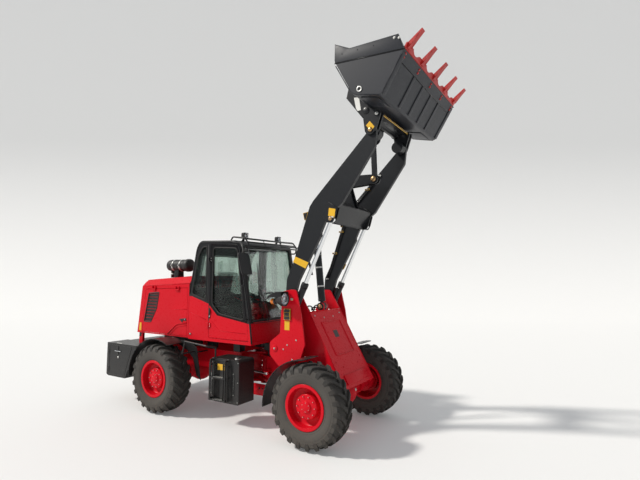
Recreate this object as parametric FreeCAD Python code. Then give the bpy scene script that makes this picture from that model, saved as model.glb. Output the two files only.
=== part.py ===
import FreeCAD, Part
import math
import os

os.makedirs("parts", exist_ok=True)
V = FreeCAD.Vector

# A small articulated wheel loader, in millimetres. While it is modelled, x = 0 is the front
# axle, y = 0 the middle plane, z = 0 the ground, +X points forward and +Z up. At the end all
# pieces move together, so that the origin is the bottom centre of the whole machine's box.

# Wheels and axles
WHEELBASE = 2650.0
DRAWN_WHEELBASE = 2650.0
TRACK = 1604.0
TYRE_DIAMETER = 1000.0
TYRE_WIDTH = 335.0
LUG_COUNT = 22
LUG_HEIGHT = 28.0
LUG_HALF = 23.0
LUG_SLANT = math.radians(38)
RIM_FLANGE_RADIUS = TYRE_DIAMETER * 0.262
RIM_SEAT_RADIUS = TYRE_DIAMETER * 0.24
RIM_WIDTH = 300.0
RIM_THICKNESS = 10.0
DISC_OFFSET = 30.0
DISC_THICKNESS = 14.0
HUB_RADIUS = 150.0
HUB_HEIGHT = 34.0
STUB_RADIUS = 60.0
AXLE_TUBE_RADIUS = 80.0
DIFFERENTIAL_RADIUS = 180.0
AXLE_END_RADIUS = 130.0

# Clearances: running fits, seated pieces, and gaps between panels
RUN = 0.6
SEAT = 0.3
PANEL_GAP = 5.0

# Frames
CHASSIS_HALF_WIDTH = 320.0
CHASSIS_PLATE = 20.0
CHASSIS_TOP = 900.0
CHASSIS_BOTTOM = 470.0
CHASSIS_REAR = -3700.0
PIVOT_PIN_RADIUS = 40.0
PIVOT_BOSS_RADIUS = 95.0
LUG_PLATE = 35.0
TOWER_HALF_WIDTH = 415.0
TOWER_PLATE = 20.0
CHEEK_OUTER = 600.0
CHEEK_PLATE = 20.0
LAMP_PLACE = (-470.0, 700.0, 1720.0)
LAMP_RADIUS = 85.0

# Boom and its linkage: pivots as (x, z)
ARM_CENTRE = 495.0
ARM_THICKNESS = 50.0
BOOM_PIVOT = (-520.0, 1720.0)
BOOM_TIP = (655.0, 3800.0)
LIFT_FOOT = (-700.0, 1070.0)
LIFT_EYE = (95.0, 2745.0)
ROCKER_PIVOT = (20.0, 3305.0)
ROCKER_REAR = (-480.0, 2915.0)
ROCKER_FRONT = (468.0, 3309.0)
HITCH_EYE = (445.0, 3870.0)
TILT_FOOT = (-334.0, 1600.0)
BOOM_PIN_RADIUS = 35.0
ROCKER_PIN_RADIUS = 45.0
ROCKER_CAP_RADIUS = 95.0
TILT_CAP_RADIUS = 52.0
TIP_PIN_RADIUS = 30.0
LINK_PIN_RADIUS = 38.0
LINK_CAP_RADIUS = 80.0
LINK_CAP = 24.0
LINK_EAR_RADIUS = 70.0
PIN_CAP = 16.0
TIP_COLLAR_RADIUS = 80.0
TIP_COLLAR = (322.0, 442.0)
EYE_RADIUS = 45.0
LUG_THICKNESS = 14.0
LIFT_BARREL_RADIUS = 45.0
LIFT_BARREL_LENGTH = 945.0
LIFT_ROD_RADIUS = 25.0
LIFT_ROD_LENGTH = 985.0
TILT_BARREL_RADIUS = 50.0
TILT_BARREL_LENGTH = 800.0
TILT_ROD_RADIUS = 27.0
TILT_ROD_LENGTH = 720.0
BARREL_WALL = 8.0
CENTRE_EYE_WIDTH = 54.0
ROCKER_PLATE = 18.0
BRACKET_PLATE = 20.0
STEER_BARREL_RADIUS = 32.0
STEER_ROD_RADIUS = 16.0
STEER_FOOT = (-WHEELBASE / 2 - 495, 230.0)
STEER_EYE = (-WHEELBASE / 2 + 265, 300.0)
STEER_Z = 655.0
STEER_BARREL_LENGTH = 480.0
STEER_ROD_LENGTH = 500.0
STEER_EYE_HALF = 17.0
STEER_EAR = 16.0
STEER_EAR_HALF = 28.0

# Bucket
BUCKET_WIDTH = 1960.0
BUCKET_PLATE = 12.0
TOOTH_COUNT = 5
TOOTH_WIDTH = 70.0
STRAP_LENGTH = 110.0
STRAP_LIFT = 0.8
SCALLOP_RADIUS = 160.0
SCALLOP_DEPTH = 38.0

# Cab
CAB_HALF_WIDTH = 620.0
CAB_WALL = 40.0
CAB_REAR = -2305.0
CAB_FLOOR = 1070.0
CAB_FLOOR_THICKNESS = 40.0
CAB_ROOF = 2535.0
DOOR_REAR = -1890.0
DOOR_FRONT = -1165.0
DOOR_AXIS_Y = 632.0
DOOR_HINGES = (1300.0, 2250.0)
GLASS = 6.0

# Hood
HOOD_HALF_WIDTH = 620.0
HOOD_WALL = 20.0
HOOD_BOTTOM = 1085.0
HOOD_AXIS_Y = 632.0
HOOD_AXIS_Z = 1790.0
HOOD_HINGES = (-3100.0, -2560.0)

# Hinges of doors and lids
KNUCKLE_RADIUS = 11.0
KNUCKLE_HALF = 30.0
KNUCKLE_LUG = 8.0
HINGE_PIN_RADIUS = 5.0

# Fenders, boxes and tanks
FENDER_PLATE = 8.0
FENDER_OUTER = 950.0
BOX_OUTER = 850.0
TANK_INNER = 480.0
TANK_OUTER = 790.0
TOW_PIN_X = -3985.0
TOW_PIN_RADIUS = 16.0

AXLE_Z = TYRE_DIAMETER / 2
PIVOT_X = -WHEELBASE / 2
REAR_SHIFT = DRAWN_WHEELBASE - WHEELBASE
WHEEL_Y = TRACK / 2
ARM_INNER = ARM_CENTRE - ARM_THICKNESS / 2
ARM_OUTER = ARM_CENTRE + ARM_THICKNESS / 2
EYE_HALF = CENTRE_EYE_WIDTH / 2 - RUN
ROCKER_OUTER = CENTRE_EYE_WIDTH / 2 + ROCKER_PLATE
BRACKET_INNER = ROCKER_OUTER + RUN
BRACKET_OUTER = BRACKET_INNER + BRACKET_PLATE


def box(x, y, z):
    """Box from three (low, high) pairs."""
    return Part.makeBox(x[1] - x[0], y[1] - y[0], z[1] - z[0], V(x[0], y[0], z[0]))


def mirror(shape):
    """The same shape on the other side of the machine."""
    return shape.mirror(V(0, 0, 0), V(0, 1, 0))


def both(shape):
    """A shape on the left side and its mirror image on the right."""
    return [shape, mirror(shape)]


def fuse(*shapes):
    """Join shapes that touch or overlap into one solid."""
    flat = []
    for shape in shapes:
        flat.extend(shape if isinstance(shape, (list, tuple)) else [shape])
    if len(flat) == 1:
        return flat[0]
    return flat[0].multiFuse(flat[1:]).removeSplitter()


def cut(shape, *tools):
    """Take tools away from a shape."""
    flat = []
    for tool in tools:
        flat.extend(tool if isinstance(tool, (list, tuple)) else [tool])
    return shape.cut(flat)


def place(plane, a, b, c):
    """Point with in-plane coordinates a, b at depth c along the plane's normal axis."""
    return {"y": V(a, c, b), "x": V(c, a, b), "z": V(a, b, c)}[plane]


def outline(points, plane, depth):
    """Closed wire through corners (a, b) or (a, b, radius), each radius an arc."""
    corners = [(p[0], p[1], p[2] if len(p) > 2 else 0.0) for p in points]
    edges = []
    ends = []
    count = len(corners)
    for i, (a, b, radius) in enumerate(corners):
        before, after = corners[i - 1], corners[(i + 1) % count]
        here = FreeCAD.Base.Vector2d(a, b)
        if radius <= 0:
            ends.append((here, here, None))
            continue
        u = FreeCAD.Base.Vector2d(before[0] - a, before[1] - b)
        w = FreeCAD.Base.Vector2d(after[0] - a, after[1] - b)
        u.normalize()
        w.normalize()
        half = math.acos(max(-1.0, min(1.0, u * w))) / 2
        run = radius / math.tan(half)
        middle = FreeCAD.Base.Vector2d(u.x + w.x, u.y + w.y)
        middle.normalize()
        reach = radius / math.sin(half) - radius
        ends.append((
            FreeCAD.Base.Vector2d(a + u.x * run, b + u.y * run),
            FreeCAD.Base.Vector2d(a + w.x * run, b + w.y * run),
            FreeCAD.Base.Vector2d(a + middle.x * reach, b + middle.y * reach)))
    for i, (start, end, mid) in enumerate(ends):
        if mid is not None:
            edges.append(Part.Arc(place(plane, start.x, start.y, depth),
                                  place(plane, mid.x, mid.y, depth),
                                  place(plane, end.x, end.y, depth)).toShape())
        following = ends[(i + 1) % count][0]
        p, q = place(plane, end.x, end.y, depth), place(plane, following.x, following.y, depth)
        if p.distanceToPoint(q) > 0.01:
            edges.append(Part.makeLine(p, q))
    return Part.Wire(edges)


def prism(points, plane, low, high):
    """Solid of an outline from low to high along its plane's normal."""
    face = Part.Face(outline(points, plane, low))
    return face.extrude(place(plane, 0, 0, high - low))


def rod(p, q, radius):
    """Round bar between two points."""
    direction = V(*q) - V(*p)
    return Part.makeCylinder(radius, direction.Length, V(*p), direction)


def tube_path(points, radius):
    """Bent round tube: bars with ball joints."""
    solids = [rod(p, q, radius) for p, q in zip(points, points[1:])]
    solids += [Part.makeSphere(radius, V(*p)) for p in points[1:-1]]
    return fuse(solids)


def disc(centre, radius, low, high):
    """Cylinder along Y at (x, z)."""
    return rod((centre[0], low, centre[1]), (centre[0], high, centre[1]), radius)


def capped_pin(pivot, radius, cap_radius, outer, cap=PIN_CAP):
    """Cross pin at (x, z) with a wide retaining cap outside each plate."""
    caps = both(disc(pivot, cap_radius, outer + RUN, outer + RUN + cap))
    return fuse(disc(pivot, radius, -outer - cap, outer + cap), caps)


def bar(a, b, half_a, half_b, low, high):
    """Tapered flat link between two pivots (x, z), with round ends."""
    dx, dz = b[0] - a[0], b[1] - a[1]
    length = math.hypot(dx, dz)
    nx, nz = -dz / length, dx / length
    corners = [(a[0] + nx * half_a, a[1] + nz * half_a), (b[0] + nx * half_b, b[1] + nz * half_b),
               (b[0] - nx * half_b, b[1] - nz * half_b), (a[0] - nx * half_a, a[1] - nz * half_a)]
    return fuse(prism(corners, "y", low, high), disc(a, half_a, low, high), disc(b, half_b, low, high))


def revolve(points, centre_y, x):
    """Ring about a wheel's axis from (offset, radius) points."""
    face = Part.Face(outline([(centre_y + a, AXLE_Z + r) for a, r in points], "x", x))
    return face.revolve(V(x, 0, AXLE_Z), V(0, 1, 0), 360)


def along(p, q, distance):
    """Point at a distance from p on the way to q, both (x, z)."""
    length = math.dist(p, q)
    return (p[0] + (q[0] - p[0]) * distance / length, p[1] + (q[1] - p[1]) * distance / length)


def in_plane(point, y):
    return (point[0], y, point[1])


def knuckle(middle, way):
    """Bored hinge knuckle on a moving leaf."""
    start = V(*middle) - way * KNUCKLE_HALF
    tube = Part.makeCylinder(KNUCKLE_RADIUS, 2 * KNUCKLE_HALF, start, way)
    return cut(tube, Part.makeCylinder(HINGE_PIN_RADIUS + RUN, 2 * KNUCKLE_HALF, start, way))


def hinge_pin(middle, way):
    """Fixed pin through a knuckle, with a lug at each end."""
    reach = KNUCKLE_HALF + RUN + KNUCKLE_LUG
    parts = [Part.makeCylinder(HINGE_PIN_RADIUS, 2 * reach, V(*middle) - way * reach, way)]
    for start in (-reach, reach - KNUCKLE_LUG):
        parts.append(Part.makeCylinder(KNUCKLE_RADIUS, KNUCKLE_LUG, V(*middle) + way * start, way))
    return fuse(parts)


def tread(x):
    """Slanted lugs in two staggered rows, from the crown over the shoulder."""
    lugs = []
    length, top = TYRE_WIDTH / 2 - 8 - LUG_HALF * math.sin(LUG_SLANT), TYRE_DIAMETER / 2
    sweep = math.tan(LUG_SLANT) * length
    for row in (-1, 1):
        lug = box((-LUG_HALF, LUG_HALF), (0, length / math.cos(LUG_SLANT)), (top - 60, top))
        lug.rotate(V(0, 0, 0), V(0, 0, 1), math.degrees(LUG_SLANT))
        lug.translate(V(sweep / 2, 6, 0))
        lug = lug if row > 0 else mirror(lug)
        for i in range(LUG_COUNT):
            copy = lug.copy()
            copy.rotate(V(0, 0, 0), V(0, 1, 0), 360 * (i + (0.5 if row < 0 else 0)) / LUG_COUNT)
            copy.translate(V(x, WHEEL_Y, AXLE_Z))
            lugs.append(copy)
    return lugs


def tyre(x):
    """Left tyre: carcass with shoulders, bulged side walls and beads on the rim, and its lugs."""
    half, radius = TYRE_WIDTH / 2, TYRE_DIAMETER / 2 - LUG_HEIGHT
    bead = RIM_SEAT_RADIUS + SEAT
    edge = RIM_WIDTH / 2 - 10
    wall = 22.0
    outer = [(-edge, bead), (-edge, RIM_FLANGE_RADIUS + 6), (-half, radius - 120), (-half + 8, radius - 40),
             (-half + 40, radius)]
    profile = outer + [(-a, r) for a, r in reversed(outer)]
    inner = [(-edge + wall, bead - 1), (-half + wall, radius - 120), (-half + wall + 14, radius - 46)]
    hollow = inner + [(-a, r) for a, r in reversed(inner)]
    carcass = cut(revolve(profile, WHEEL_Y, x), revolve(hollow, WHEEL_Y, x))
    crown = disc((x, AXLE_Z), TYRE_DIAMETER / 2, 0, 2 * WHEEL_Y)
    return fuse(carcass, tread(x)).common(crown)


def rim(x):
    """Left rim: flanged barrel, dished disc and hub face, bored for the axle stub."""
    half = RIM_WIDTH / 2
    inner = RIM_SEAT_RADIUS - RIM_THICKNESS
    lip = 9.0
    barrel = revolve([(-half, inner), (-half, RIM_FLANGE_RADIUS), (-half + lip, RIM_FLANGE_RADIUS),
                      (-half + lip, RIM_SEAT_RADIUS), (half - lip, RIM_SEAT_RADIUS),
                      (half - lip, RIM_FLANGE_RADIUS), (half, RIM_FLANGE_RADIUS), (half, inner)],
                     WHEEL_Y, x)
    disc_in = WHEEL_Y + DISC_OFFSET
    disc_out = disc_in + DISC_THICKNESS
    centre = (x, AXLE_Z)
    plate = disc(centre, inner + 2, disc_in, disc_out)
    hub = disc(centre, HUB_RADIUS, disc_in - 70, disc_out + HUB_HEIGHT)
    bore = disc(centre, STUB_RADIUS + RUN, disc_in - 71, disc_in + 21)
    return cut(fuse(barrel, plate, hub), bore)


def axle(x):
    """Drive axle: tube, differential, hub ends and stubs, with saddles up to the frame."""
    hub_in = WHEEL_Y + DISC_OFFSET - 70 - RUN
    centre = (x, AXLE_Z)
    core = disc(centre, AXLE_TUBE_RADIUS, -hub_in + 100, hub_in - 100)
    ball = Part.makeSphere(DIFFERENTIAL_RADIUS, V(x, 0, AXLE_Z))
    ends = both(fuse(disc(centre, AXLE_END_RADIUS, hub_in - 170, hub_in),
                     disc(centre, STUB_RADIUS, hub_in, hub_in + 90)))
    return fuse(core, ball, ends)


def steer_ears(point, inner, outer):
    """Pairs of ear plates that hold a steering cylinder's eye at (x, y), on both sides."""
    ears = []
    for low in (STEER_Z - STEER_EYE_HALF - RUN - STEER_EAR, STEER_Z + STEER_EYE_HALF + RUN):
        ears += both(box((point[0] - STEER_EAR_HALF, point[0] + STEER_EAR_HALF), (inner, outer),
                          (low, low + STEER_EAR)))
    return ears


def rear_chassis():
    """Two long side plates, cross plates and the twin lugs of the centre pivot."""
    half, plate = CHASSIS_HALF_WIDTH, CHASSIS_PLATE
    front = PIVOT_X - 175
    rear_axle_x = -WHEELBASE
    tail = CHASSIS_REAR + REAR_SHIFT
    side = prism([(tail, 620), (tail, CHASSIS_TOP), (front, CHASSIS_TOP),
                  (front, CHASSIS_BOTTOM), (front - 250, CHASSIS_BOTTOM), (front - 420, 620)],
                 "y", half - plate, half)
    bearing = disc((rear_axle_x, AXLE_Z), AXLE_TUBE_RADIUS + 30, half - 60, half)
    saddle = fuse(box((rear_axle_x - 110, rear_axle_x + 110), (half - 60, half), (AXLE_Z, max(AXLE_Z, 620) + 5)),
                  bearing)
    saddle = cut(saddle, disc((rear_axle_x, AXLE_Z), AXLE_TUBE_RADIUS + SEAT, half - 61, half + 1))
    parts = both(fuse(side, saddle))
    for x in (tail, rear_axle_x - 350, rear_axle_x + 400):
        parts.append(box((x, x + plate), (-half, half), (620, CHASSIS_TOP)))
    parts.append(box((front - plate, front), (-half, half), (CHASSIS_BOTTOM, CHASSIS_TOP)))
    for low in (CHASSIS_BOTTOM, CHASSIS_TOP - LUG_PLATE):
        lug = prism([(front - 1, -200), (PIVOT_X, -PIVOT_BOSS_RADIUS), (PIVOT_X, PIVOT_BOSS_RADIUS),
                     (front - 1, 200)], "z", low, low + LUG_PLATE)
        parts.append(fuse(lug, rod((PIVOT_X, 0, low), (PIVOT_X, 0, low + LUG_PLATE), PIVOT_BOSS_RADIUS)))
    parts += steer_ears(STEER_FOOT, STEER_FOOT[1] - 45, half - 1)
    windows = both(box((front - 220, front + 1), (140, half + 1), (STEER_Z - 60, STEER_Z + 60)))
    bore = rod((PIVOT_X, 0, CHASSIS_BOTTOM - 1), (PIVOT_X, 0, CHASSIS_TOP + 1), PIVOT_PIN_RADIUS + RUN)
    return cut(fuse(parts), bore, windows)


def front_chassis():
    """Tower with its sloping front plate, outer cheeks, tail to the pivot and cylinder lugs."""
    half, plate = TOWER_HALF_WIDTH, TOWER_PLATE
    top_x, top_z = -283.0, 1548.0
    nose_x, nose_z = 250.0, 615.0
    wall = prism([(-640, 560), (-640, 900), (-762, 980), (-762, 1150), (-640, 1260), (-610, 1700, 60),
                  (-560, 1815, 60), (-440, 1815, 60), (top_x, top_z), (nose_x, nose_z), (nose_x - 60, 560)],
                 "y", half - plate, half)
    cheek = prism([(-610, 830), (-780, 980, 50), (-780, 1150, 50), (-620, 1270), (-585, 1815, 40),
                   (-450, 1845, 40), (-370, 1840, 40), (-290, 1524), (-230, 1154), (-310, 930)],
                  "y", CHEEK_OUTER - CHEEK_PLATE, CHEEK_OUTER)
    slope = math.atan2(nose_z - top_z, nose_x - top_x)
    nx, nz = math.sin(slope) * plate, -math.cos(slope) * plate
    front = prism([(top_x, top_z), (nose_x, nose_z), (nose_x + nx, nose_z + nz), (top_x + nx, top_z + nz)],
                  "y", -half, half)
    deck = box((-620, 170), (-half, half), (560, 580))
    rear = box((-640, -620), (-half, half), (560, 1250))
    top_bar = box((-420, -300), (-half, half), (1480, 1500))
    base = prism([(-600, 900), (-330, 900), (-330, 925), (-600, 925)], "y", half - 1, CHEEK_OUTER - 1)
    pads = both(base)
    tail_low, tail_high = CHASSIS_BOTTOM + LUG_PLATE + RUN, CHASSIS_TOP - LUG_PLATE - RUN
    web = PIVOT_X + 195
    tail = [box((web, -620), sorted_pair(sign * 190, sign * 210), (560, tail_high)) for sign in (-1, 1)]
    for low in (tail_low, tail_high - LUG_PLATE):
        lug = prism([(PIVOT_X, -PIVOT_BOSS_RADIUS), (web, -210), (-620, -300), (-620, 300), (web, 210),
                     (PIVOT_X, PIVOT_BOSS_RADIUS)], "z", low, low + LUG_PLATE)
        tail.append(fuse(lug, rod((PIVOT_X, 0, low), (PIVOT_X, 0, low + LUG_PLATE), PIVOT_BOSS_RADIUS)))
    tail.append(box((web, web + 20), (-210, 210), (tail_low, tail_high)))
    pin = rod((PIVOT_X, 0, CHASSIS_BOTTOM - 20), (PIVOT_X, 0, CHASSIS_TOP + 20), PIVOT_PIN_RADIUS)
    tilt_ears = []
    for low, high in ((-ROCKER_OUTER - 6, -EYE_HALF - RUN), (EYE_HALF + RUN, ROCKER_OUTER + 6)):
        tilt_ears.append(prism([(-460, 1490), (TILT_FOOT[0] - 55, TILT_FOOT[1], 30),
                                (TILT_FOOT[0] - 40, TILT_FOOT[1] + 50, 30),
                                (TILT_FOOT[0] + 40, TILT_FOOT[1] + 50, 30),
                                (TILT_FOOT[0] + 55, TILT_FOOT[1], 20), (-295, 1490)], "y", low, high))
    ears = steer_ears(STEER_EYE, 205, STEER_EYE[1] + 42)
    saddles = []
    for sign in (-1, 1):
        block = box((-110, 110), sorted_pair(sign * 340, sign * 410), (AXLE_Z, max(AXLE_Z, 560) + 5))
        ring = disc((0, AXLE_Z), AXLE_TUBE_RADIUS + 30, *sorted_pair(sign * 340, sign * 410))
        saddles.append(fuse(block, ring))
    body = fuse(both(wall), both(cheek), front, deck, rear, top_bar, pads, tail, pin, tilt_ears, ears, saddles)
    lift_pins = both(disc(LIFT_FOOT, TIP_PIN_RADIUS, half - 1, CHEEK_OUTER - 1))
    boom_pins = both(disc(BOOM_PIVOT, BOOM_PIN_RADIUS, half - 1, CHEEK_OUTER + 12))
    holes = [disc((0, AXLE_Z), AXLE_TUBE_RADIUS + SEAT, -half - 1, half + 1),
             disc((0, AXLE_Z), DIFFERENTIAL_RADIUS + 10, -DIFFERENTIAL_RADIUS - 10, DIFFERENTIAL_RADIUS + 10),
             disc(TILT_FOOT, BOOM_PIN_RADIUS + RUN, -ROCKER_OUTER - 10, ROCKER_OUTER + 10)]
    return fuse(cut(body, holes), lift_pins, boom_pins)


def sorted_pair(a, b):
    return (min(a, b), max(a, b))


def front_fender():
    """Left front fender: an arc of sheet over the back of the wheel, bolted to the cheek."""
    centre, radius = (-20.0, 440.0), 600.0
    start, end = math.radians(182), math.radians(91)
    ring = cut(disc(centre, radius, CHEEK_OUTER + SEAT, FENDER_OUTER),
               disc(centre, radius - FENDER_PLATE, CHEEK_OUTER, FENDER_OUTER + 1))
    reach = radius * 1.6
    wedge = [centre, (centre[0] + reach * math.cos(start), centre[1] + reach * math.sin(start)),
             (centre[0] - reach, centre[1] + reach),
             (centre[0] + reach * math.cos(end), centre[1] + reach * math.sin(end))]
    return ring.common(prism(wedge, "y", CHEEK_OUTER, FENDER_OUTER + 2))


def rear_fender():
    """Left rear fender: arc of sheet over the wheel with an inner splash panel."""
    centre, radius = (-DRAWN_WHEELBASE, 490.0), 588.0
    ring = cut(disc(centre, radius, 630, FENDER_OUTER),
               disc(centre, radius - FENDER_PLATE, 629, FENDER_OUTER + 1))
    reach = radius * 1.6
    start, end = math.radians(182), math.radians(62)
    wedge = [centre, (centre[0] + reach * math.cos(start), centre[1] + reach * math.sin(start)),
             (centre[0] - reach, centre[1] + reach), (centre[0], centre[1] + reach),
             (centre[0] + reach * math.cos(end), centre[1] + reach * math.sin(end))]
    arc = ring.common(prism(wedge, "y", 600, FENDER_OUTER + 2))
    top_z = centre[1] + radius
    panel = prism([(-3190, 700), (-3100, 1000), (-2900, top_z - 26), (-2300, top_z - 40), (-2110, 960),
                   (-2010, 500), (-2100, 560), (-2180, 800), (-2300, 900), (-2500, 980), (-2800, 980),
                   (-3000, 860), (-3120, 700)], "y", 622, 630)
    brackets = [box((x, x + 40), (CHASSIS_HALF_WIDTH, 623), (CHASSIS_TOP - 40, CHASSIS_TOP - 25))
                for x in (-3110, -2230)]
    return fuse(arc, panel, brackets)


def counterweight():
    """Cast rear weight across the chassis end, with a storage box each side."""
    cast = prism([(-3925, 430, 40), (-3925, 905, 20), (CHASSIS_REAR - SEAT, 905), (CHASSIS_REAR - SEAT, 430)],
                 "y", -500, 500)
    side = [(-3925, 413), (-3925, 915), (-3185, 915), (-3448, 390), (-3880, 390)]
    boxes = []
    for solid in both(prism(side, "y", 480, BOX_OUTER)):
        boxes.append(solid)
    return fuse(cast, boxes)


def cab_profile(inset):
    """Side outline of the cab (x, z, radius), moved inwards by inset."""
    return [(CAB_REAR + inset, CAB_FLOOR), (CAB_REAR + inset, 1740), (-2140 + inset, CAB_ROOF - inset, 130),
            (-1330 - inset, CAB_ROOF - 20 - inset, 110), (-1125 - inset, 1370), (-1085 - inset, CAB_FLOOR)]


DOOR_OUTLINE = [(DOOR_REAR, 1115, 30), (DOOR_REAR, 2480, 30), (-1330, 2455, 90), (DOOR_FRONT, 1380, 20),
                (DOOR_FRONT + 30, 1115, 20)]
DOOR_WINDOW = [(-1835, 1600, 40), (-1835, 2430, 40), (-1370, 2410, 80), (-1215, 1400, 30), (-1690, 1470, 60)]
QUARTER_WINDOW = [(-2250, 1740, 30), (-2130, 2300, 120), (-2040, 2440, 60), (-1960, 2450, 30), (-1960, 1660, 30)]
WINDSHIELD_HALF = 560.0
REAR_WINDOW_HALF = 470.0
SILL_Z = 1385.0


def shrunk(points, inset):
    """Outline moved towards its middle by a fixed inset, for flush glass."""
    cx = sum(p[0] for p in points) / len(points)
    cz = sum(p[1] for p in points) / len(points)
    result = []
    for p in points:
        distance = math.hypot(p[0] - cx, p[1] - cz)
        k = (distance - inset) / distance
        result.append((cx + (p[0] - cx) * k, cz + (p[1] - cz) * k) + tuple(p[2:]))
    return result


def cab_shell():
    outer = prism(cab_profile(0), "y", -CAB_HALF_WIDTH, CAB_HALF_WIDTH)
    inner = prism(cab_profile(CAB_WALL), "y", -CAB_HALF_WIDTH + CAB_WALL, CAB_HALF_WIDTH - CAB_WALL)
    shell = cut(outer, inner)
    sides = both(prism(DOOR_OUTLINE, "y", CAB_HALF_WIDTH - CAB_WALL - 5, CAB_HALF_WIDTH + 5))
    sides += both(prism(QUARTER_WINDOW, "y", CAB_HALF_WIDTH - CAB_WALL - 5, CAB_HALF_WIDTH + 5))
    front = prism([(-1500, SILL_Z), (-1000, SILL_Z), (-1000, 2440), (-1500, 2440)],
                  "y", -WINDSHIELD_HALF, WINDSHIELD_HALF)
    rear = box((CAB_REAR - 5, -2050), (-REAR_WINDOW_HALF, REAR_WINDOW_HALF), (1800, 2330))
    return cut(shell, sides, front, rear)


def cab_parts():
    """Cab frame with roof, red lower panels, and floor, cut from one hollow shell."""
    shell = cab_shell()
    low = box((-3000, 0), (-1000, 1000), (0, 1360))
    rear_low = prism([(-3000, 0), (-1900, 0), (-1900, 1605), (-2250, 1705), (-3000, 1705)], "y", -1000, 1000)
    panel_zone = fuse(low, rear_low)
    panels = shell.common(panel_zone)
    frame = shell.cut(panel_zone)
    for z, part_shape in ((DOOR_HINGES[0], "panels"), (DOOR_HINGES[1], "frame")):
        lugs = []
        middle = (DOOR_REAR, DOOR_AXIS_Y, z)
        for low in (z - KNUCKLE_HALF - RUN - KNUCKLE_LUG, z + KNUCKLE_HALF + RUN):
            lugs.append(box((DOOR_REAR - 40, DOOR_REAR - 3), (CAB_HALF_WIDTH - 1, DOOR_AXIS_Y + 6),
                            (low, low + KNUCKLE_LUG)))
        hinges = both(fuse(lugs, hinge_pin(middle, V(0, 0, 1))))
        if part_shape == "panels":
            panels = fuse(panels, hinges)
        else:
            frame = fuse(frame, hinges)
    return frame, panels


def cab_floor():
    edge = CAB_HALF_WIDTH - CAB_WALL - SEAT
    plate = box((CAB_REAR + CAB_WALL + SEAT, -1085 - CAB_WALL - 10), (-edge, edge),
                (CAB_FLOOR, CAB_FLOOR + CAB_FLOOR_THICKNESS))
    mounts = [box((x, x + 120), (y, y + 120), (CHASSIS_TOP + SEAT, CAB_FLOOR))
              for x in (-2220, -1680) for y in (-310, 190)]
    return fuse(plate, mounts)


def door():
    """Left cab door: pressed panel with its window opening and two hinge leaves."""
    outer = prism(shrunk_gap(DOOR_OUTLINE), "y", CAB_HALF_WIDTH - CAB_WALL, CAB_HALF_WIDTH)
    panel = cut(outer, prism(DOOR_WINDOW, "y", CAB_HALF_WIDTH - CAB_WALL - 1, CAB_HALF_WIDTH + 1))
    leaves = []
    for z in DOOR_HINGES:
        tube = knuckle((DOOR_REAR, DOOR_AXIS_Y, z), V(0, 0, 1))
        leaf = cut(box((DOOR_REAR + 2, DOOR_REAR + 40), (CAB_HALF_WIDTH - 1, DOOR_AXIS_Y - 2),
                       (z - KNUCKLE_HALF, z + KNUCKLE_HALF)),
                   rod((DOOR_REAR, DOOR_AXIS_Y, z - 50), (DOOR_REAR, DOOR_AXIS_Y, z + 50), KNUCKLE_RADIUS - 2),
                   box((DOOR_REAR - 5, DOOR_REAR + PANEL_GAP), (CAB_HALF_WIDTH - 5, CAB_HALF_WIDTH + 1),
                       (z - 50, z + 50)))
        leaves += [tube, leaf]
    return fuse(panel, leaves)


def shrunk_gap(points):
    """Door outline with the panel gap taken off all round."""
    low = min(p[1] for p in points)
    high = max(p[1] for p in points)
    rear = min(p[0] for p in points)
    result = []
    for p in points:
        x = p[0] + PANEL_GAP if p[0] == rear else p[0] - PANEL_GAP
        z = p[1] + PANEL_GAP if p[1] == low else p[1]
        z = z - PANEL_GAP if p[1] > high - 60 else z
        result.append((x, z) + tuple(p[2:]))
    return result


def glass_panes():
    """Windshield, rear window and two quarter windows."""
    panes = []
    # columns: low (x, z), top (x, z), pane's z span, half width, depth behind the outer face
    for low, top, heights, half, depth in (
            ((-1125.0, 1370.0), (-1330.0, CAB_ROOF - 20), (SILL_Z + SEAT, 2440 - SEAT), WINDSHIELD_HALF, -20.0),
            ((CAB_REAR, 1740.0), (-2140.0, CAB_ROOF), (1800 + SEAT, 2330 - SEAT), REAR_WINDOW_HALF, 14.0)):
        run = (top[0] - low[0]) / (top[1] - low[1])
        line = [(low[0] + (z - low[1]) * run + depth, z) for z in heights]
        back = [(x + GLASS, z) for x, z in reversed(line)]
        panes.append(prism(line + back, "y", -half + SEAT, half - SEAT))
    y = CAB_HALF_WIDTH - CAB_WALL / 2
    panes += both(prism(shrunk(QUARTER_WINDOW, SEAT), "y", y, y + GLASS))
    return Part.makeCompound(panes)


# columns: x, shoulder height, crown height
HOOD_SECTIONS = ((-3520.0, 1828.0, 1925.0), (-2305.0, 1894.0, 2008.0))


def crown_z(x):
    """Height of the hood's flat crown at x."""
    (x0, _, z0), (x1, _, z1) = HOOD_SECTIONS
    return z0 + (z1 - z0) * (x - x0) / (x1 - x0)


def hood_solid(inset):
    """Hood body: a lofted box with shoulders, closed by its raked rear face."""
    half = HOOD_HALF_WIDTH - inset
    sections = []
    for x, shoulder, crown in HOOD_SECTIONS:
        edge = 90.0
        sections.append(outline([(-half, HOOD_BOTTOM - 1), (-half, shoulder - inset * 0.4),
                                 (-half + edge, crown - inset), (half - edge, crown - inset),
                                 (half, shoulder - inset * 0.4), (half, HOOD_BOTTOM - 1)], "x", x))
    block = Part.makeLoft(sections, True, True)
    profile = prism([(-3490 + inset, HOOD_BOTTOM), (-3385 + inset, 1930 - inset, 70), (-2305 - 0, 2100),
                     (-2305, HOOD_BOTTOM)], "y", -700, 700)
    return block.common(profile)


SIDE_SLOT = [(-3335, 1267, 12), (-3233, 1727, 12), (-2983, 1747, 12), (-3031, 1488, 12), (-3165, 1264, 12)]


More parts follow.
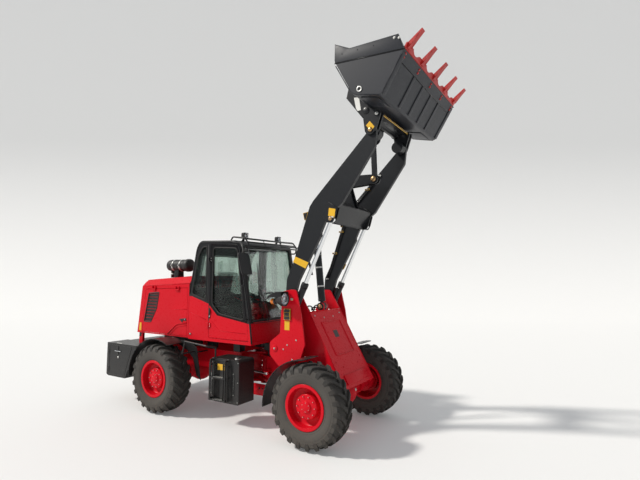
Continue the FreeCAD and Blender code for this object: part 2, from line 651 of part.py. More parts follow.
def side_grille():
    """Slatted grille in the slot of the left hood door."""
    outer = prism(SIDE_SLOT, "y", HOOD_HALF_WIDTH - HOOD_WALL, HOOD_HALF_WIDTH - 6)
    ring = cut(outer, prism(shrunk(SIDE_SLOT, 16), "y", HOOD_HALF_WIDTH - 40, HOOD_HALF_WIDTH))
    slats = []
    for i in range(9):
        z = SIDE_SLOT[0][1] + 40 + i * 48
        slat = prism([(HOOD_HALF_WIDTH - HOOD_WALL + 2, z), (HOOD_HALF_WIDTH - 8, z + 22),
                      (HOOD_HALF_WIDTH - 8, z + 27), (HOOD_HALF_WIDTH - HOOD_WALL + 2, z + 5)], "x", -3400, -2900)
        slats.append(slat.common(prism(shrunk(SIDE_SLOT, 14), "y", HOOD_HALF_WIDTH - 60, HOOD_HALF_WIDTH)))
    return fuse(ring, slats)


def hood_parts():
    """Fixed hood shell and its left side door with its grille."""
    shell = cut(hood_solid(0), hood_solid(HOOD_WALL))
    front_gap = box((-2310, -2300), (-900, 900), (900, 2200))
    shell = cut(shell, front_gap)
    opening = prism([(-3370, 1100), (-3310, 1790), (-2340, 1830), (-2340, 1100)], "y", 590, 700)
    leaf = prism([(-3370 + PANEL_GAP, 1100 + PANEL_GAP), (-3310 + PANEL_GAP, 1790 - PANEL_GAP),
                  (-2340 - PANEL_GAP, 1830 - PANEL_GAP), (-2340 - PANEL_GAP, 1100 + PANEL_GAP)],
                 "y", 590, 700)
    door_left = cut(shell.common(leaf), prism(SIDE_SLOT, "y", 500, 700))
    rear_hole = box((-3600, -3300), (-430, 430), (1180, 1740))
    fixed = cut(shell, both(opening), rear_hole)
    feet = both(box((-3460, -3380), (560, 601), (915 + SEAT, 1110)))
    bulkhead = box((-2335, -2320), (-601, 601), (HOOD_BOTTOM, 1500))
    legs = box((-2335, -2320), (-290, 290), (CHASSIS_TOP + SEAT, HOOD_BOTTOM + 1))
    pins, knuckles = [], []
    for x in HOOD_HINGES:
        middle = (x, HOOD_AXIS_Y, HOOD_AXIS_Z)
        hinge_leaf = cut(box((x - KNUCKLE_HALF, x + KNUCKLE_HALF), (HOOD_HALF_WIDTH - 1, HOOD_AXIS_Y - 4),
                             (HOOD_AXIS_Z - 30, HOOD_AXIS_Z)),
                         rod((x - 50, HOOD_AXIS_Y, HOOD_AXIS_Z), (x + 50, HOOD_AXIS_Y, HOOD_AXIS_Z),
                             KNUCKLE_RADIUS - 2))
        knuckles += [knuckle(middle, V(1, 0, 0)), hinge_leaf]
        pins += both(hinge_pin(middle, V(1, 0, 0)))
        for end in (x - KNUCKLE_HALF - RUN - KNUCKLE_LUG, x + KNUCKLE_HALF + RUN):
            edge_z = 1790 + (end + 3310) * 40 / 970
            pins += both(fuse(box((end, end + KNUCKLE_LUG), (621, HOOD_AXIS_Y + 8), (HOOD_AXIS_Z, 1845)),
                              box((end, end + KNUCKLE_LUG), (619, 622), (edge_z + 6, 1845))))
    return fuse(fixed, feet, bulkhead, legs, pins), fuse(door_left, knuckles, side_grille())


def rear_grille():
    """Slatted grille in the hood's rear opening."""
    slats = []
    for i in range(12):
        z = 1195 + i * 46
        x = -3490 + (z - HOOD_BOTTOM) * 105 / 845
        slats.append(prism([(x + 2, z), (x + 8, z), (x + 24, z + 26), (x + 18, z + 26)], "y", -430 + SEAT, 430 - SEAT))
    posts = [box((-3475, -3395), (y, y + 8), (1185, 1735)) for y in (-400, -200, -4, 196, 392)]
    return fuse(slats, posts)


def tank():
    """Left tank under the cab with its ladder of two rungs."""
    body = prism([(-1640, 310, 15), (-1640, 890, 15), (-1140, 890, 40), (-1140, 310, 15)], "y",
                 TANK_INNER, TANK_OUTER)
    hangers = [box((x, x + 60), (CHASSIS_HALF_WIDTH + SEAT, TANK_INNER + 1), (800, 820))
               for x in (-1610, -1560)]
    rails = []
    for x in (-1600.0, -1330.0):
        rails.append(tube_path([(x, TANK_OUTER, 870), (x, BOX_OUTER, 870), (x, BOX_OUTER, 360),
                                (x, TANK_OUTER, 360)], 12))
    rungs = [box((-1612, -1318), (BOX_OUTER - 60, BOX_OUTER + 12), (z - 8, z + 8)) for z in (345, 640)]
    return fuse(body, hangers, rails, rungs)


def seat():
    cushion = prism([(-2050, 1440, 40), (-2050, 1560, 40), (-1600, 1575, 40), (-1600, 1450, 40)], "y", -240, 240)
    back = prism([(-2075, 1500), (-2170, 2120, 40), (-2075, 2130, 40), (-1960, 1500)], "y", -230, 230)
    base = box((-2000, -1680), (-170, 170), (CAB_FLOOR + CAB_FLOOR_THICKNESS + SEAT, 1445))
    return fuse(cushion, back, base)


def steering_column():
    floor = CAB_FLOOR + CAB_FLOOR_THICKNESS + SEAT
    console = prism([(-1330, floor), (-1180, floor), (-1230, 1400), (-1340, 1500)], "y", -90, 90)
    stem = rod((-1300, 0, 1430), (-1420, 0, 1680), 22)
    wheel = Part.makeTorus(190, 15, V(-1420, 0, 1680), V(-120, 0, 250))
    spokes = rod((-1420, -190, 1680), (-1420, 190, 1680), 9)
    return fuse(console, stem, wheel, spokes)


def arm():
    """Left boom arm: knee-shaped plate with bosses, doublers and lift lugs."""
    body = prism([(-590, 1720), (-575, 1985, 60), (-490, 2150, 60), (-225, 2925, 60), (-170, 3000, 60),
                  (585, 3765), (728, 3794), (705, 3592, 60), (250, 2930, 80), (130, 2845, 60),
                  (-100, 2460), (-385, 1960, 60), (-455, 1720)],
                 "y", ARM_INNER, ARM_OUTER)
    notch = along(LIFT_EYE, LIFT_FOOT, 200)
    lowered = (LIFT_EYE[0] + 10, LIFT_EYE[1] - 200)
    for end in (notch, lowered):
        body = cut(body, bar(LIFT_EYE, end, EYE_RADIUS + 20, EYE_RADIUS + 20, ARM_INNER - 1, ARM_OUTER + 1))
    bosses = [disc(BOOM_PIVOT, 65, ARM_INNER - 20, ARM_OUTER + 20), disc(BOOM_TIP, 75, ARM_INNER, ARM_OUTER)]
    lug = [(60, 2960), (190, 2880), (LIFT_EYE[0] + 60, LIFT_EYE[1] + 10, 40),
           (LIFT_EYE[0] + 25, LIFT_EYE[1] - 60, 40), (LIFT_EYE[0] - 65, LIFT_EYE[1] - 30, 40), (-30, 2800)]
    lugs = [prism(lug, "y", ARM_INNER - LUG_THICKNESS, ARM_INNER),
            prism(lug, "y", ARM_OUTER, ARM_OUTER + LUG_THICKNESS)]
    doubler = prism(BEAM, "y", ARM_INNER - LUG_THICKNESS, ARM_INNER)
    solid = fuse(body, bosses, lugs, doubler)
    return cut(solid, disc(BOOM_PIVOT, BOOM_PIN_RADIUS + RUN, ARM_INNER - 30, ARM_OUTER + 30),
               disc(BOOM_TIP, TIP_PIN_RADIUS + RUN, ARM_INNER - 30, ARM_OUTER + 30))


BEAM = [(-60, 2740), (60, 2700), (205, 2930), (75, 3015)]


def crossbeam():
    """Box beam between the arms with the rocker's bracket plates on top."""
    span = ARM_INNER - LUG_THICKNESS
    middle = (sum(p[0] for p in BEAM) / 4, sum(p[1] for p in BEAM) / 4)
    inner = [along(p, middle, 25) for p in BEAM]
    beam = cut(prism(BEAM, "y", -span, span), prism(inner, "y", -span + 15, span - 15))
    plates = []
    for side in both(prism([(20, 2890), (200, 2930), (120, 3200, 120), (90, 3330), (-50, 3330), (-40, 3150, 60)],
                           "y", BRACKET_INNER, BRACKET_OUTER)):
        plates.append(side)
    bosses = both(disc(ROCKER_PIVOT, ROCKER_CAP_RADIUS, BRACKET_INNER, BRACKET_OUTER))
    hole = disc(ROCKER_PIVOT, ROCKER_PIN_RADIUS + RUN, -BRACKET_OUTER - 1, BRACKET_OUTER + 1)
    return cut(fuse(beam, plates, bosses), hole)


def rocker():
    """Bellcrank: two bent plates joined by the pivot's tube."""
    half = CENTRE_EYE_WIDTH / 2
    plates = []
    for low, high in ((-ROCKER_OUTER, -half), (half, ROCKER_OUTER)):
        plates.append(fuse(bar(ROCKER_PIVOT, ROCKER_REAR, 80, 52, low, high),
                           bar(ROCKER_PIVOT, ROCKER_FRONT, 84, 62, low, high)))
    hub = disc(ROCKER_PIVOT, ROCKER_PIN_RADIUS + 25, -half - 1, half + 1)
    heads = both(disc(ROCKER_FRONT, LINK_PIN_RADIUS, ROCKER_OUTER - 1, ROCKER_OUTER + 10))
    return cut(fuse(plates, hub, heads), disc(ROCKER_PIVOT, ROCKER_PIN_RADIUS + RUN, -60, 60))


def link():
    """Straight link between the rocker's front eye and the hitch."""
    body = bar(ROCKER_FRONT, HITCH_EYE, 30, 30, -EYE_HALF, EYE_HALF)
    eyes = [disc(ROCKER_FRONT, EYE_RADIUS, -EYE_HALF, EYE_HALF),
            disc(HITCH_EYE, LINK_PIN_RADIUS + 20, -EYE_HALF, EYE_HALF)]
    return cut(fuse(body, eyes), disc(HITCH_EYE, LINK_PIN_RADIUS + RUN, -60, 60))


def barrel(foot, eye, y, radius, length, half_width, bore):
    """Cylinder barrel with its foot eye, hollow above the foot."""
    start, end = along(foot, eye, bore + 34), along(foot, eye, length)
    inner = along(foot, eye, bore + 60)
    tube = cut(rod(in_plane(start, y), in_plane(end, y), radius),
               rod(in_plane(inner, y), in_plane(along(foot, eye, length + 1), y), radius - BARREL_WALL))
    gland_in, gland_out = along(foot, eye, length - 60), end
    rod_radius = LIFT_ROD_RADIUS if radius == LIFT_BARREL_RADIUS else TILT_ROD_RADIUS
    gland = cut(rod(in_plane(gland_in, y), in_plane(gland_out, y), radius),
                rod(in_plane(gland_in, y), in_plane(along(foot, eye, length + 1), y), rod_radius + RUN))
    foot_eye = disc(foot, bore + 22, y - half_width, y + half_width)
    neck = rod(in_plane(foot, y), in_plane(inner, y), min(half_width, radius) - 1)
    return cut(fuse(tube, gland, foot_eye, neck), disc(foot, bore + RUN, y - 80, y + 80))


def piston_rod(foot, eye, y, radius, length, half_width):
    """Rod from inside the barrel to its solid eye."""
    shaft = rod(in_plane(along(eye, foot, length), y), in_plane(eye, y), radius)
    return fuse(shaft, disc(eye, EYE_RADIUS, y - half_width, y + half_width))


def steer_points(sign):
    foot = V(STEER_FOOT[0], sign * STEER_FOOT[1], STEER_Z)
    eye = V(STEER_EYE[0], sign * STEER_EYE[1], STEER_Z)
    return foot, eye, (eye - foot).normalize()


def steer_barrel(sign):
    foot, eye, way = steer_points(sign)
    tube = Part.makeCylinder(STEER_BARREL_RADIUS, STEER_BARREL_LENGTH - 40, foot + way * 40, way)
    bore = Part.makeCylinder(STEER_ROD_RADIUS + RUN, STEER_BARREL_LENGTH, foot + way * 80, way)
    base = Part.makeCylinder(30, 2 * STEER_EYE_HALF, foot - V(0, 0, STEER_EYE_HALF), V(0, 0, 1))
    neck = Part.makeCylinder(14, 60, foot, way)
    return cut(fuse(tube, base, neck), bore)


def steer_rod(sign):
    foot, eye, way = steer_points(sign)
    shaft = Part.makeCylinder(STEER_ROD_RADIUS, STEER_ROD_LENGTH, eye, way * -1)
    return fuse(shaft, Part.makeCylinder(28, 2 * STEER_EYE_HALF, eye - V(0, 0, STEER_EYE_HALF), V(0, 0, 1)))


BUCKET_OUTSIDE = [(404, 4744), (401, 4534, 80), (636, 4089, 60), (987, 4016, 60), (1262, 4477)]
BUCKET_SIDE = [(404, 4744), (401, 4534, 80), (636, 4089, 60), (987, 4016, 60), (1262, 4477), (1194, 4651),
               (600, 4646, 60)]
TOOTH_TIP = (1455.0, 4669.0)


def bucket():
    """Welded shell of back, heel and floor between two side plates."""
    half = BUCKET_WIDTH / 2
    sides = both(prism(BUCKET_SIDE, "y", half - BUCKET_PLATE, half))
    wall = prism(BUCKET_OUTSIDE, "y", -half + 1, half - 1)
    inner = [(404 + BUCKET_PLATE, 4800), (401 + BUCKET_PLATE, 4538, 70), (636 + 8, 4089 + 12, 50),
             (987 - 7, 4016 + 13, 50), (1262 - 11, 4477 + 6), (1262 - 80, 4800)]
    wall = cut(wall, prism(inner, "y", -half, half))
    closing = prism([(404, 4744), (1262, 4477), (1300, 5000), (404, 5000)], "y", -half, half)
    return fuse(cut(wall, closing), sides)


def bucket_teeth():
    """Cutting edge with bolted teeth, each between two straps."""
    start, tip = (1262.0, 4477.0), TOOTH_TIP
    half = BUCKET_WIDTH / 2
    dx, dz = (start[0] - 987), (start[1] - 4016)
    length = math.hypot(dx, dz)
    ux, uz = dx / length, dz / length
    edge = prism([(start[0] + ux * SEAT, start[1] + uz * SEAT),
                  (start[0] + ux * 70, start[1] + uz * 70),
                  (start[0] - uz * 16 + ux * 60, start[1] + ux * 16 + uz * 60),
                  (start[0] - uz * 16 + ux * SEAT, start[1] + ux * 16 + uz * SEAT)],
                 "y", -half + BUCKET_PLATE + SEAT, half - BUCKET_PLATE - SEAT)
    spots = [(-0.92 + 1.84 * i / (TOOTH_COUNT - 1)) * half for i in range(TOOTH_COUNT)]
    front = V(start[0] + ux * (70 + SCALLOP_RADIUS - SCALLOP_DEPTH), 0,
              start[1] + uz * (70 + SCALLOP_RADIUS - SCALLOP_DEPTH))
    way = V(-uz, 0, ux)
    for y in [(a + b) / 2 for a, b in zip(spots, spots[1:])]:
        edge = cut(edge, Part.makeCylinder(SCALLOP_RADIUS, 60, front + V(0, y, 0) - way * 20, way))
    teeth = []
    for y in spots:
        root_in = (start[0] - uz * 46 + ux * 4, start[1] + ux * 46 + uz * 4)
        root_out = (start[0] + uz * 14 + ux * 20, start[1] - ux * 14 + uz * 20)
        teeth.append(prism([root_in, root_out, (tip[0], tip[1] - 12), (tip[0] - 10, tip[1])], "y",
                           y - TOOTH_WIDTH / 2, y + TOOTH_WIDTH / 2))
        strap = [(start[0] - uz * out + ux * run, start[1] + ux * out + uz * run)
                 for out, run in ((30, -STRAP_LENGTH), (46, 6), (30, 40), (BUCKET_PLATE + STRAP_LIFT, 40),
                                  (BUCKET_PLATE + STRAP_LIFT, -STRAP_LENGTH))]
        teeth.append(prism(strap, "y", y - TOOTH_WIDTH / 2, y + TOOTH_WIDTH / 2))
    return fuse(edge, teeth)


def quick_hitch():
    """Hitch frame: ears round the boom tips, cross tube, centre ears and upper hooks."""
    ear_out = [(BOOM_TIP[0] - 70, BOOM_TIP[1] - 20, 40), (BOOM_TIP[0], BOOM_TIP[1] - 80, 60),
               (BOOM_TIP[0] + 72, BOOM_TIP[1] - 10, 40), (800, 4010, 30), (640, 4083), (399, 4535), (395, 4535),
               (330, 4260, 40), (560, 3960)]
    back = [(640, 4083), (399, 4530), (375, 4530), (330, 4260), (560, 3960), (800, 4010), (830, 4043)]
    ears = []
    for low, high in ((ARM_INNER - 27, ARM_INNER - RUN), (ARM_OUTER + RUN, ARM_OUTER + 27)):
        ear = prism(ear_out, "y", low, high)
        ears += both(cut(ear, prism([(636, 4089 - SEAT), (401 - SEAT, 4534), (401 - SEAT, 4800), (1300, 4800),
                                     (1300, 4000), (987, 4016 - SEAT)], "y", low - 1, high + 1)))
    tube = rod((590, -ARM_OUTER - 20, 4010), (590, ARM_OUTER + 20, 4010), 55)
    centre_ears = []
    for low, high in ((-ROCKER_OUTER, -CENTRE_EYE_WIDTH / 2), (CENTRE_EYE_WIDTH / 2, ROCKER_OUTER)):
        centre_ears.append(disc(HITCH_EYE, LINK_EAR_RADIUS, low, high))
        centre_ears.append(prism([(HITCH_EYE[0] - 50, HITCH_EYE[1], 30), (HITCH_EYE[0] - 20, HITCH_EYE[1] - 50, 30),
                                  (HITCH_EYE[0] + 50, HITCH_EYE[1] - 30, 30), (620, 3990), (590, 4050),
                                  (500, 4050)], "y", low, high))
    holes = [disc(BOOM_TIP, TIP_PIN_RADIUS + RUN, -700, 700),
             disc(HITCH_EYE, LINK_PIN_RADIUS + RUN, -60, 60)]
    return cut(fuse(ears, tube, centre_ears), holes)


def hitch_pins():
    """A pin through each boom tip, with a wide collar inside the hitch's ears."""
    pin = fuse(disc(BOOM_TIP, TIP_COLLAR_RADIUS, *TIP_COLLAR),
               disc(BOOM_TIP, TIP_PIN_RADIUS, TIP_COLLAR[1] - 1, ARM_OUTER + 34))
    return Part.makeCompound(both(pin))


def headlamp():
    """Left head lamp in its round housing on a bracket from the cheek."""
    x, y, z = LAMP_PLACE
    bowl, ring = 80.0, 50.0
    centre, forward = V(x - bowl - ring, y, z), V(1, 0, 0)
    shell = fuse(Part.makeCone(48, LAMP_RADIUS, bowl, centre, forward),
                 Part.makeCylinder(LAMP_RADIUS, ring, centre + V(bowl, 0, 0), forward))
    bracket = box((x - 70, x - 20), (CHEEK_OUTER + SEAT, 650), (z + LAMP_RADIUS / 2, z + LAMP_RADIUS))
    amber = Part.makeCylinder(38, 95, centre + V(-90, 0, -30), forward)
    return fuse(shell, bracket, amber)


def roof_z(x):
    """Height of the cab roof's straight part at x."""
    return CAB_ROOF - (x + 2140) * 20 / 810


def lamps():
    """Roof work lamps and tail lamps."""
    roof = []
    for y in (-400, 400):
        stem = prism([(-1480, roof_z(-1480) + SEAT), (-1450, roof_z(-1450) + SEAT), (-1440, CAB_ROOF + 60),
                      (-1470, CAB_ROOF + 60)], "y", y - 8, y + 8)
        roof.append(fuse(box((-1460, -1390), (y - 45, y + 45), (CAB_ROOF + 20, CAB_ROOF + 110)), stem))
    tails = [box((-3950, -3925 - SEAT), (y - 50, y + 50), (760, 860)) for y in (-700, 700)]
    return Part.makeCompound(roof + tails)


def air_cleaner():
    body = rod((-2700, -300, 2175), (-3130, -300, 2175), 95)
    cup = rod((-2640, -300, 2175), (-2700, -300, 2175), 105)
    bracket = prism([(-2960, crown_z(-2960) + SEAT), (-2860, crown_z(-2860) + SEAT), (-2860, 2095),
                     (-2960, 2095)], "y", -360, -240)
    return fuse(body, cup, bracket)


def handrails():
    rails = []
    side = CAB_HALF_WIDTH + SEAT
    rail = tube_path([(-1152, side, 1420), (-1152, 665, 1420), (-1229, 665, 1880), (-1229, side, 1880)], 10)
    back = tube_path([(-2150, 630 + SEAT, 900), (-2150, 860, 900), (-2080, 880, 1080), (-1660, 880, 1050),
                      (-1600, 760, 1020), (-1600, 760, 890 + SEAT)], 12)
    for shape in (rail, back):
        rails += both(shape)
    return Part.makeCompound(rails)


def mirror_unit():
    foot = box((-1440, -1380), (CAB_HALF_WIDTH + SEAT, CAB_HALF_WIDTH + 12), (2474, 2502))
    stalk = tube_path([(-1410, CAB_HALF_WIDTH + 8, 2488), (-1180, 740, 2470), (-1105, 800, 2320)], 10)
    head = box((-1125, -1085), (740, 900), (2030, 2330))
    return fuse(foot, stalk, head)


def tow_hitch():
    """Rear drawbar block with a vertical pin bore."""
    block = fuse(box((-4010, -3925 - SEAT), (-60, 60), (500, 540)),
                 box((-4010, -3925 - SEAT), (-60, 60), (620, 660)),
                 box((-3960, -3925 - SEAT), (-60, 60), (500, 660)))
    return cut(block, rod((TOW_PIN_X, 0, 400), (TOW_PIN_X, 0, 700), TOW_PIN_RADIUS))


pieces = {}

front_tyre = tyre(0.0)
for axle_name, axle_x in (("front", 0.0), ("rear", -WHEELBASE)):
    pieces["tyre_%s_left" % axle_name] = front_tyre.translated(V(axle_x, 0, 0))
    pieces["rim_%s_left" % axle_name] = rim(axle_x)
    pieces["tyre_%s_right" % axle_name] = mirror(pieces["tyre_%s_left" % axle_name])
    pieces["rim_%s_right" % axle_name] = mirror(rim(axle_x))
    pieces["%s_axle" % axle_name] = axle(axle_x)

pieces["rear_chassis"] = rear_chassis()
pieces["engine_block"] = box((-3250, -2500), (-270, 270), (CHASSIS_TOP + SEAT, 1650))
pieces["counterweight"] = counterweight()
pieces["rear_fenders"] = Part.makeCompound(both(rear_fender()))
pieces["cab_frame"], pieces["cab_panels"] = cab_parts()
pieces["cab_floor"] = cab_floor()
pieces["cab_glass"] = glass_panes()
pieces["seat"] = seat()
pieces["steering_column"] = steering_column()
pieces["hood"], hood_door = hood_parts()
pieces["hood_door_left"] = hood_door
pieces["hood_door_right"] = mirror(hood_door)
pieces["rear_grille"] = rear_grille()
pieces["tanks"] = Part.makeCompound(both(tank()))
pieces["air_cleaner"] = air_cleaner()
pieces["handrails"] = handrails()
pieces["mirrors"] = Part.makeCompound(both(mirror_unit()))
pieces["lamps"] = lamps()
pieces["tow_hitch"] = tow_hitch()

pieces["door_left"] = door()
pieces["door_right"] = mirror(door())
window = prism(shrunk(DOOR_WINDOW, SEAT), "y", CAB_HALF_WIDTH - 23, CAB_HALF_WIDTH - 23 + GLASS)
pieces["door_glass_left"] = window
pieces["door_glass_right"] = mirror(window)

pieces["front_chassis"] = front_chassis()
pieces["front_fenders"] = Part.makeCompound(both(front_fender()))
pieces["headlamps"] = Part.makeCompound(both(headlamp()))

pieces["boom_arm_left"] = arm()
pieces["boom_arm_right"] = mirror(arm())
pieces["boom_crossbeam"] = crossbeam()
pieces["rocker"] = rocker()
pieces["rocker_pin"] = capped_pin(ROCKER_PIVOT, ROCKER_PIN_RADIUS, ROCKER_CAP_RADIUS, BRACKET_OUTER)
pieces["link_pin"] = capped_pin(HITCH_EYE, LINK_PIN_RADIUS, LINK_CAP_RADIUS, ROCKER_OUTER, LINK_CAP)
pieces["link"] = link()
pieces["tilt_pin"] = capped_pin(TILT_FOOT, BOOM_PIN_RADIUS, TILT_CAP_RADIUS, ROCKER_OUTER + 6)
pieces["tilt_barrel"] = barrel(TILT_FOOT, ROCKER_REAR, 0.0, TILT_BARREL_RADIUS, TILT_BARREL_LENGTH,
                               EYE_HALF, BOOM_PIN_RADIUS)
pieces["tilt_rod"] = piston_rod(TILT_FOOT, ROCKER_REAR, 0.0, TILT_ROD_RADIUS, TILT_ROD_LENGTH, EYE_HALF)
lift_barrel = barrel(LIFT_FOOT, LIFT_EYE, ARM_CENTRE, LIFT_BARREL_RADIUS, LIFT_BARREL_LENGTH,
                     ARM_THICKNESS / 2, TIP_PIN_RADIUS)
lift_rod = piston_rod(LIFT_FOOT, LIFT_EYE, ARM_CENTRE, LIFT_ROD_RADIUS, LIFT_ROD_LENGTH,
                      ARM_THICKNESS / 2 - RUN)
pieces["lift_barrel_left"] = lift_barrel
pieces["lift_barrel_right"] = mirror(lift_barrel)
pieces["lift_rod_left"] = lift_rod
pieces["lift_rod_right"] = mirror(lift_rod)
for side_name, side_sign in (("left", 1), ("right", -1)):
    pieces["steer_barrel_" + side_name] = steer_barrel(side_sign)
    pieces["steer_rod_" + side_name] = steer_rod(side_sign)
pieces["hitch_pins"] = hitch_pins()
pieces["quick_hitch"] = quick_hitch()
pieces["bucket"] = bucket()
pieces["bucket_teeth"] = bucket_teeth()

# the pieces that ride over the rear axle are drawn for one wheelbase and move with the axle
for name in ("engine_block", "counterweight", "rear_fenders", "cab_frame", "cab_panels", "cab_floor", "cab_glass",
             "seat", "steering_column", "hood", "hood_door_left", "hood_door_right", "rear_grille", "tanks",
             "air_cleaner", "handrails", "mirrors", "lamps", "tow_hitch", "door_left", "door_right",
             "door_glass_left", "door_glass_right"):
    pieces[name].translate(V(REAR_SHIFT, 0, 0))

whole = Part.makeCompound(list(pieces.values())).BoundBox
SHIFT = V(-whole.Center.x, -whole.Center.y, -whole.ZMin)
for name, shape in pieces.items():
    shape.translate(SHIFT)
    shape.exportStep("parts/%s.step" % name)
print("pieces", len(pieces), "box", whole.XLength, whole.YLength, whole.ZLength, "shift", SHIFT)
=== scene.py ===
import bpy
import bmesh
import math
from mathutils import Matrix, Vector


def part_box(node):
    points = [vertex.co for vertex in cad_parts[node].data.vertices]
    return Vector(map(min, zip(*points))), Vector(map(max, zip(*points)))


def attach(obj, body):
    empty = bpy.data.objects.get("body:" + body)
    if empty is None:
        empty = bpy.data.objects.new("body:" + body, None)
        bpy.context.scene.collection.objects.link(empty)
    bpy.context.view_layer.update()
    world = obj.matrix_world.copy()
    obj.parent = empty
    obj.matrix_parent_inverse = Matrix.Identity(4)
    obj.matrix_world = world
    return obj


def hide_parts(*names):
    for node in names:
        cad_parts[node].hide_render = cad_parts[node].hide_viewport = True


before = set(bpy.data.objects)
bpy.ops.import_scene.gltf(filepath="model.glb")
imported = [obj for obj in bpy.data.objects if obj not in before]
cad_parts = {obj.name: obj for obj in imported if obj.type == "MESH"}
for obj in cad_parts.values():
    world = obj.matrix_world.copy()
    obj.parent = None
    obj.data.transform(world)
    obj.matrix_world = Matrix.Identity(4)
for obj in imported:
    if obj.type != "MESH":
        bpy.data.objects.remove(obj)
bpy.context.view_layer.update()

# The studio: a pale floor that runs up into a pale backdrop, soft lamps, and the camera where the
# photographer stood, at eye height to the machine's right and in front. All places below are
# measured from the middle of the front axle on the ground: x forward, y to the left, z up.
FRONT_AXLE_X = sum(corner.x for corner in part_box("rim_front_left")) / 2
CAMERA_PLACE = (2.9132, -5.3903, 2.0368)
CAMERA_YAW, CAMERA_PITCH, CAMERA_ROLL = -0.5486, 0.0778, 0.0071
LENS_PIXELS, IMAGE_WIDTH = 447.28, 640
SENSOR = 36.0
SUN_STRENGTH, SUN_SPREAD, SUN_COLOUR, SUN_FROM = 3.2, 0.09, (1.0, 0.96, 0.9), (-0.62, -0.52, 0.72)
SKY_COLOUR, SKY_STRENGTH, SEEN_SKY = (0.9, 0.94, 1.0, 1), 0.48, (0.93, 0.94, 0.95, 1)
FLOOR_COLOUR, FLOOR_ROUGHNESS, FLOOR_GLOW, FLOOR_DROP = (0.72, 0.72, 0.71, 1), 0.9, 0.1, 0.001
FLOOR_HALF, WALL_BACK, WALL_HEIGHT, COVE_RADIUS, COVE_STEPS = 90.0, 26.0, 40.0, 12.0, 16


def at(x, y, z):
    """A place in the row frame, from the front axle's middle on the ground."""
    return Vector((x + FRONT_AXLE_X, y, z))


forward = Vector((math.sin(CAMERA_YAW) * math.cos(CAMERA_PITCH),
                  math.cos(CAMERA_YAW) * math.cos(CAMERA_PITCH), math.sin(CAMERA_PITCH)))
side = forward.cross(Vector((0, 0, 1))).normalized()
above = side.cross(forward)
right = side * math.cos(CAMERA_ROLL) + above * math.sin(CAMERA_ROLL)
up = above * math.cos(CAMERA_ROLL) - side * math.sin(CAMERA_ROLL)
camera = bpy.data.objects.new("camera", bpy.data.cameras.new("camera"))
camera.data.lens = LENS_PIXELS / IMAGE_WIDTH * SENSOR
camera.data.sensor_width = SENSOR
camera.matrix_world = Matrix((right, up, -forward)).transposed().to_4x4()
camera.location = at(*CAMERA_PLACE)
bpy.context.scene.collection.objects.link(camera)
bpy.context.scene.camera = camera
bpy.context.scene.view_settings.view_transform = "Standard"

sun = bpy.data.objects.new("sun", bpy.data.lights.new("sun", "SUN"))
sun.data.energy, sun.data.angle, sun.data.color = SUN_STRENGTH, SUN_SPREAD, SUN_COLOUR
sun.rotation_euler = Vector(SUN_FROM).to_track_quat("Z", "Y").to_euler()
bpy.context.scene.collection.objects.link(sun)

world = bpy.data.worlds.new("studio")
bpy.context.scene.world = world
world.use_nodes = True
world_nodes = world.node_tree.nodes
world_links = world.node_tree.links
background = world_nodes["Background"]
background.inputs["Color"].default_value = SKY_COLOUR
background.inputs["Strength"].default_value = SKY_STRENGTH
pale = world_nodes.new("ShaderNodeBackground")
pale.inputs["Color"].default_value = SEEN_SKY
rays = world_nodes.new("ShaderNodeLightPath")
world_mix = world_nodes.new("ShaderNodeMixShader")
world_links.new(rays.outputs["Is Camera Ray"], world_mix.inputs[0])
world_links.new(background.outputs[0], world_mix.inputs[1])
world_links.new(pale.outputs[0], world_mix.inputs[2])
world_links.new(world_mix.outputs[0], world_nodes["World Output"].inputs["Surface"])

floor_material = bpy.data.materials.new("studio_floor")
floor_material.use_nodes = True
floor_shader = floor_material.node_tree.nodes["Principled BSDF"]
floor_shader.inputs["Base Color"].default_value = FLOOR_COLOUR
floor_shader.inputs["Roughness"].default_value = FLOOR_ROUGHNESS
floor_shader.inputs["Emission Color"].default_value = (1, 1, 1, 1)
floor_shader.inputs["Emission Strength"].default_value = FLOOR_GLOW
profile = [(-FLOOR_HALF, 0), (WALL_BACK - COVE_RADIUS, 0)]
for step in range(1, COVE_STEPS + 1):
    turn = math.pi / 2 * step / COVE_STEPS
    profile.append((WALL_BACK - COVE_RADIUS + COVE_RADIUS * math.sin(turn),
                    COVE_RADIUS * (1 - math.cos(turn))))
profile.append((WALL_BACK, WALL_HEIGHT))
floor_mesh = bpy.data.meshes.new("studio_floor")
floor_mesh.from_pydata(
    [(x, y, z - FLOOR_DROP) for y, z in profile for x in (-FLOOR_HALF, FLOOR_HALF)], [],
    [(2 * i, 2 * i + 1, 2 * i + 3, 2 * i + 2) for i in range(len(profile) - 1)])
floor_mesh.materials.append(floor_material)
for face in floor_mesh.polygons:
    face.use_smooth = True
studio_floor = bpy.data.objects.new("studio_floor", floor_mesh)
studio_floor.rotation_euler = (0, 0, -CAMERA_YAW)
bpy.context.scene.collection.objects.link(studio_floor)

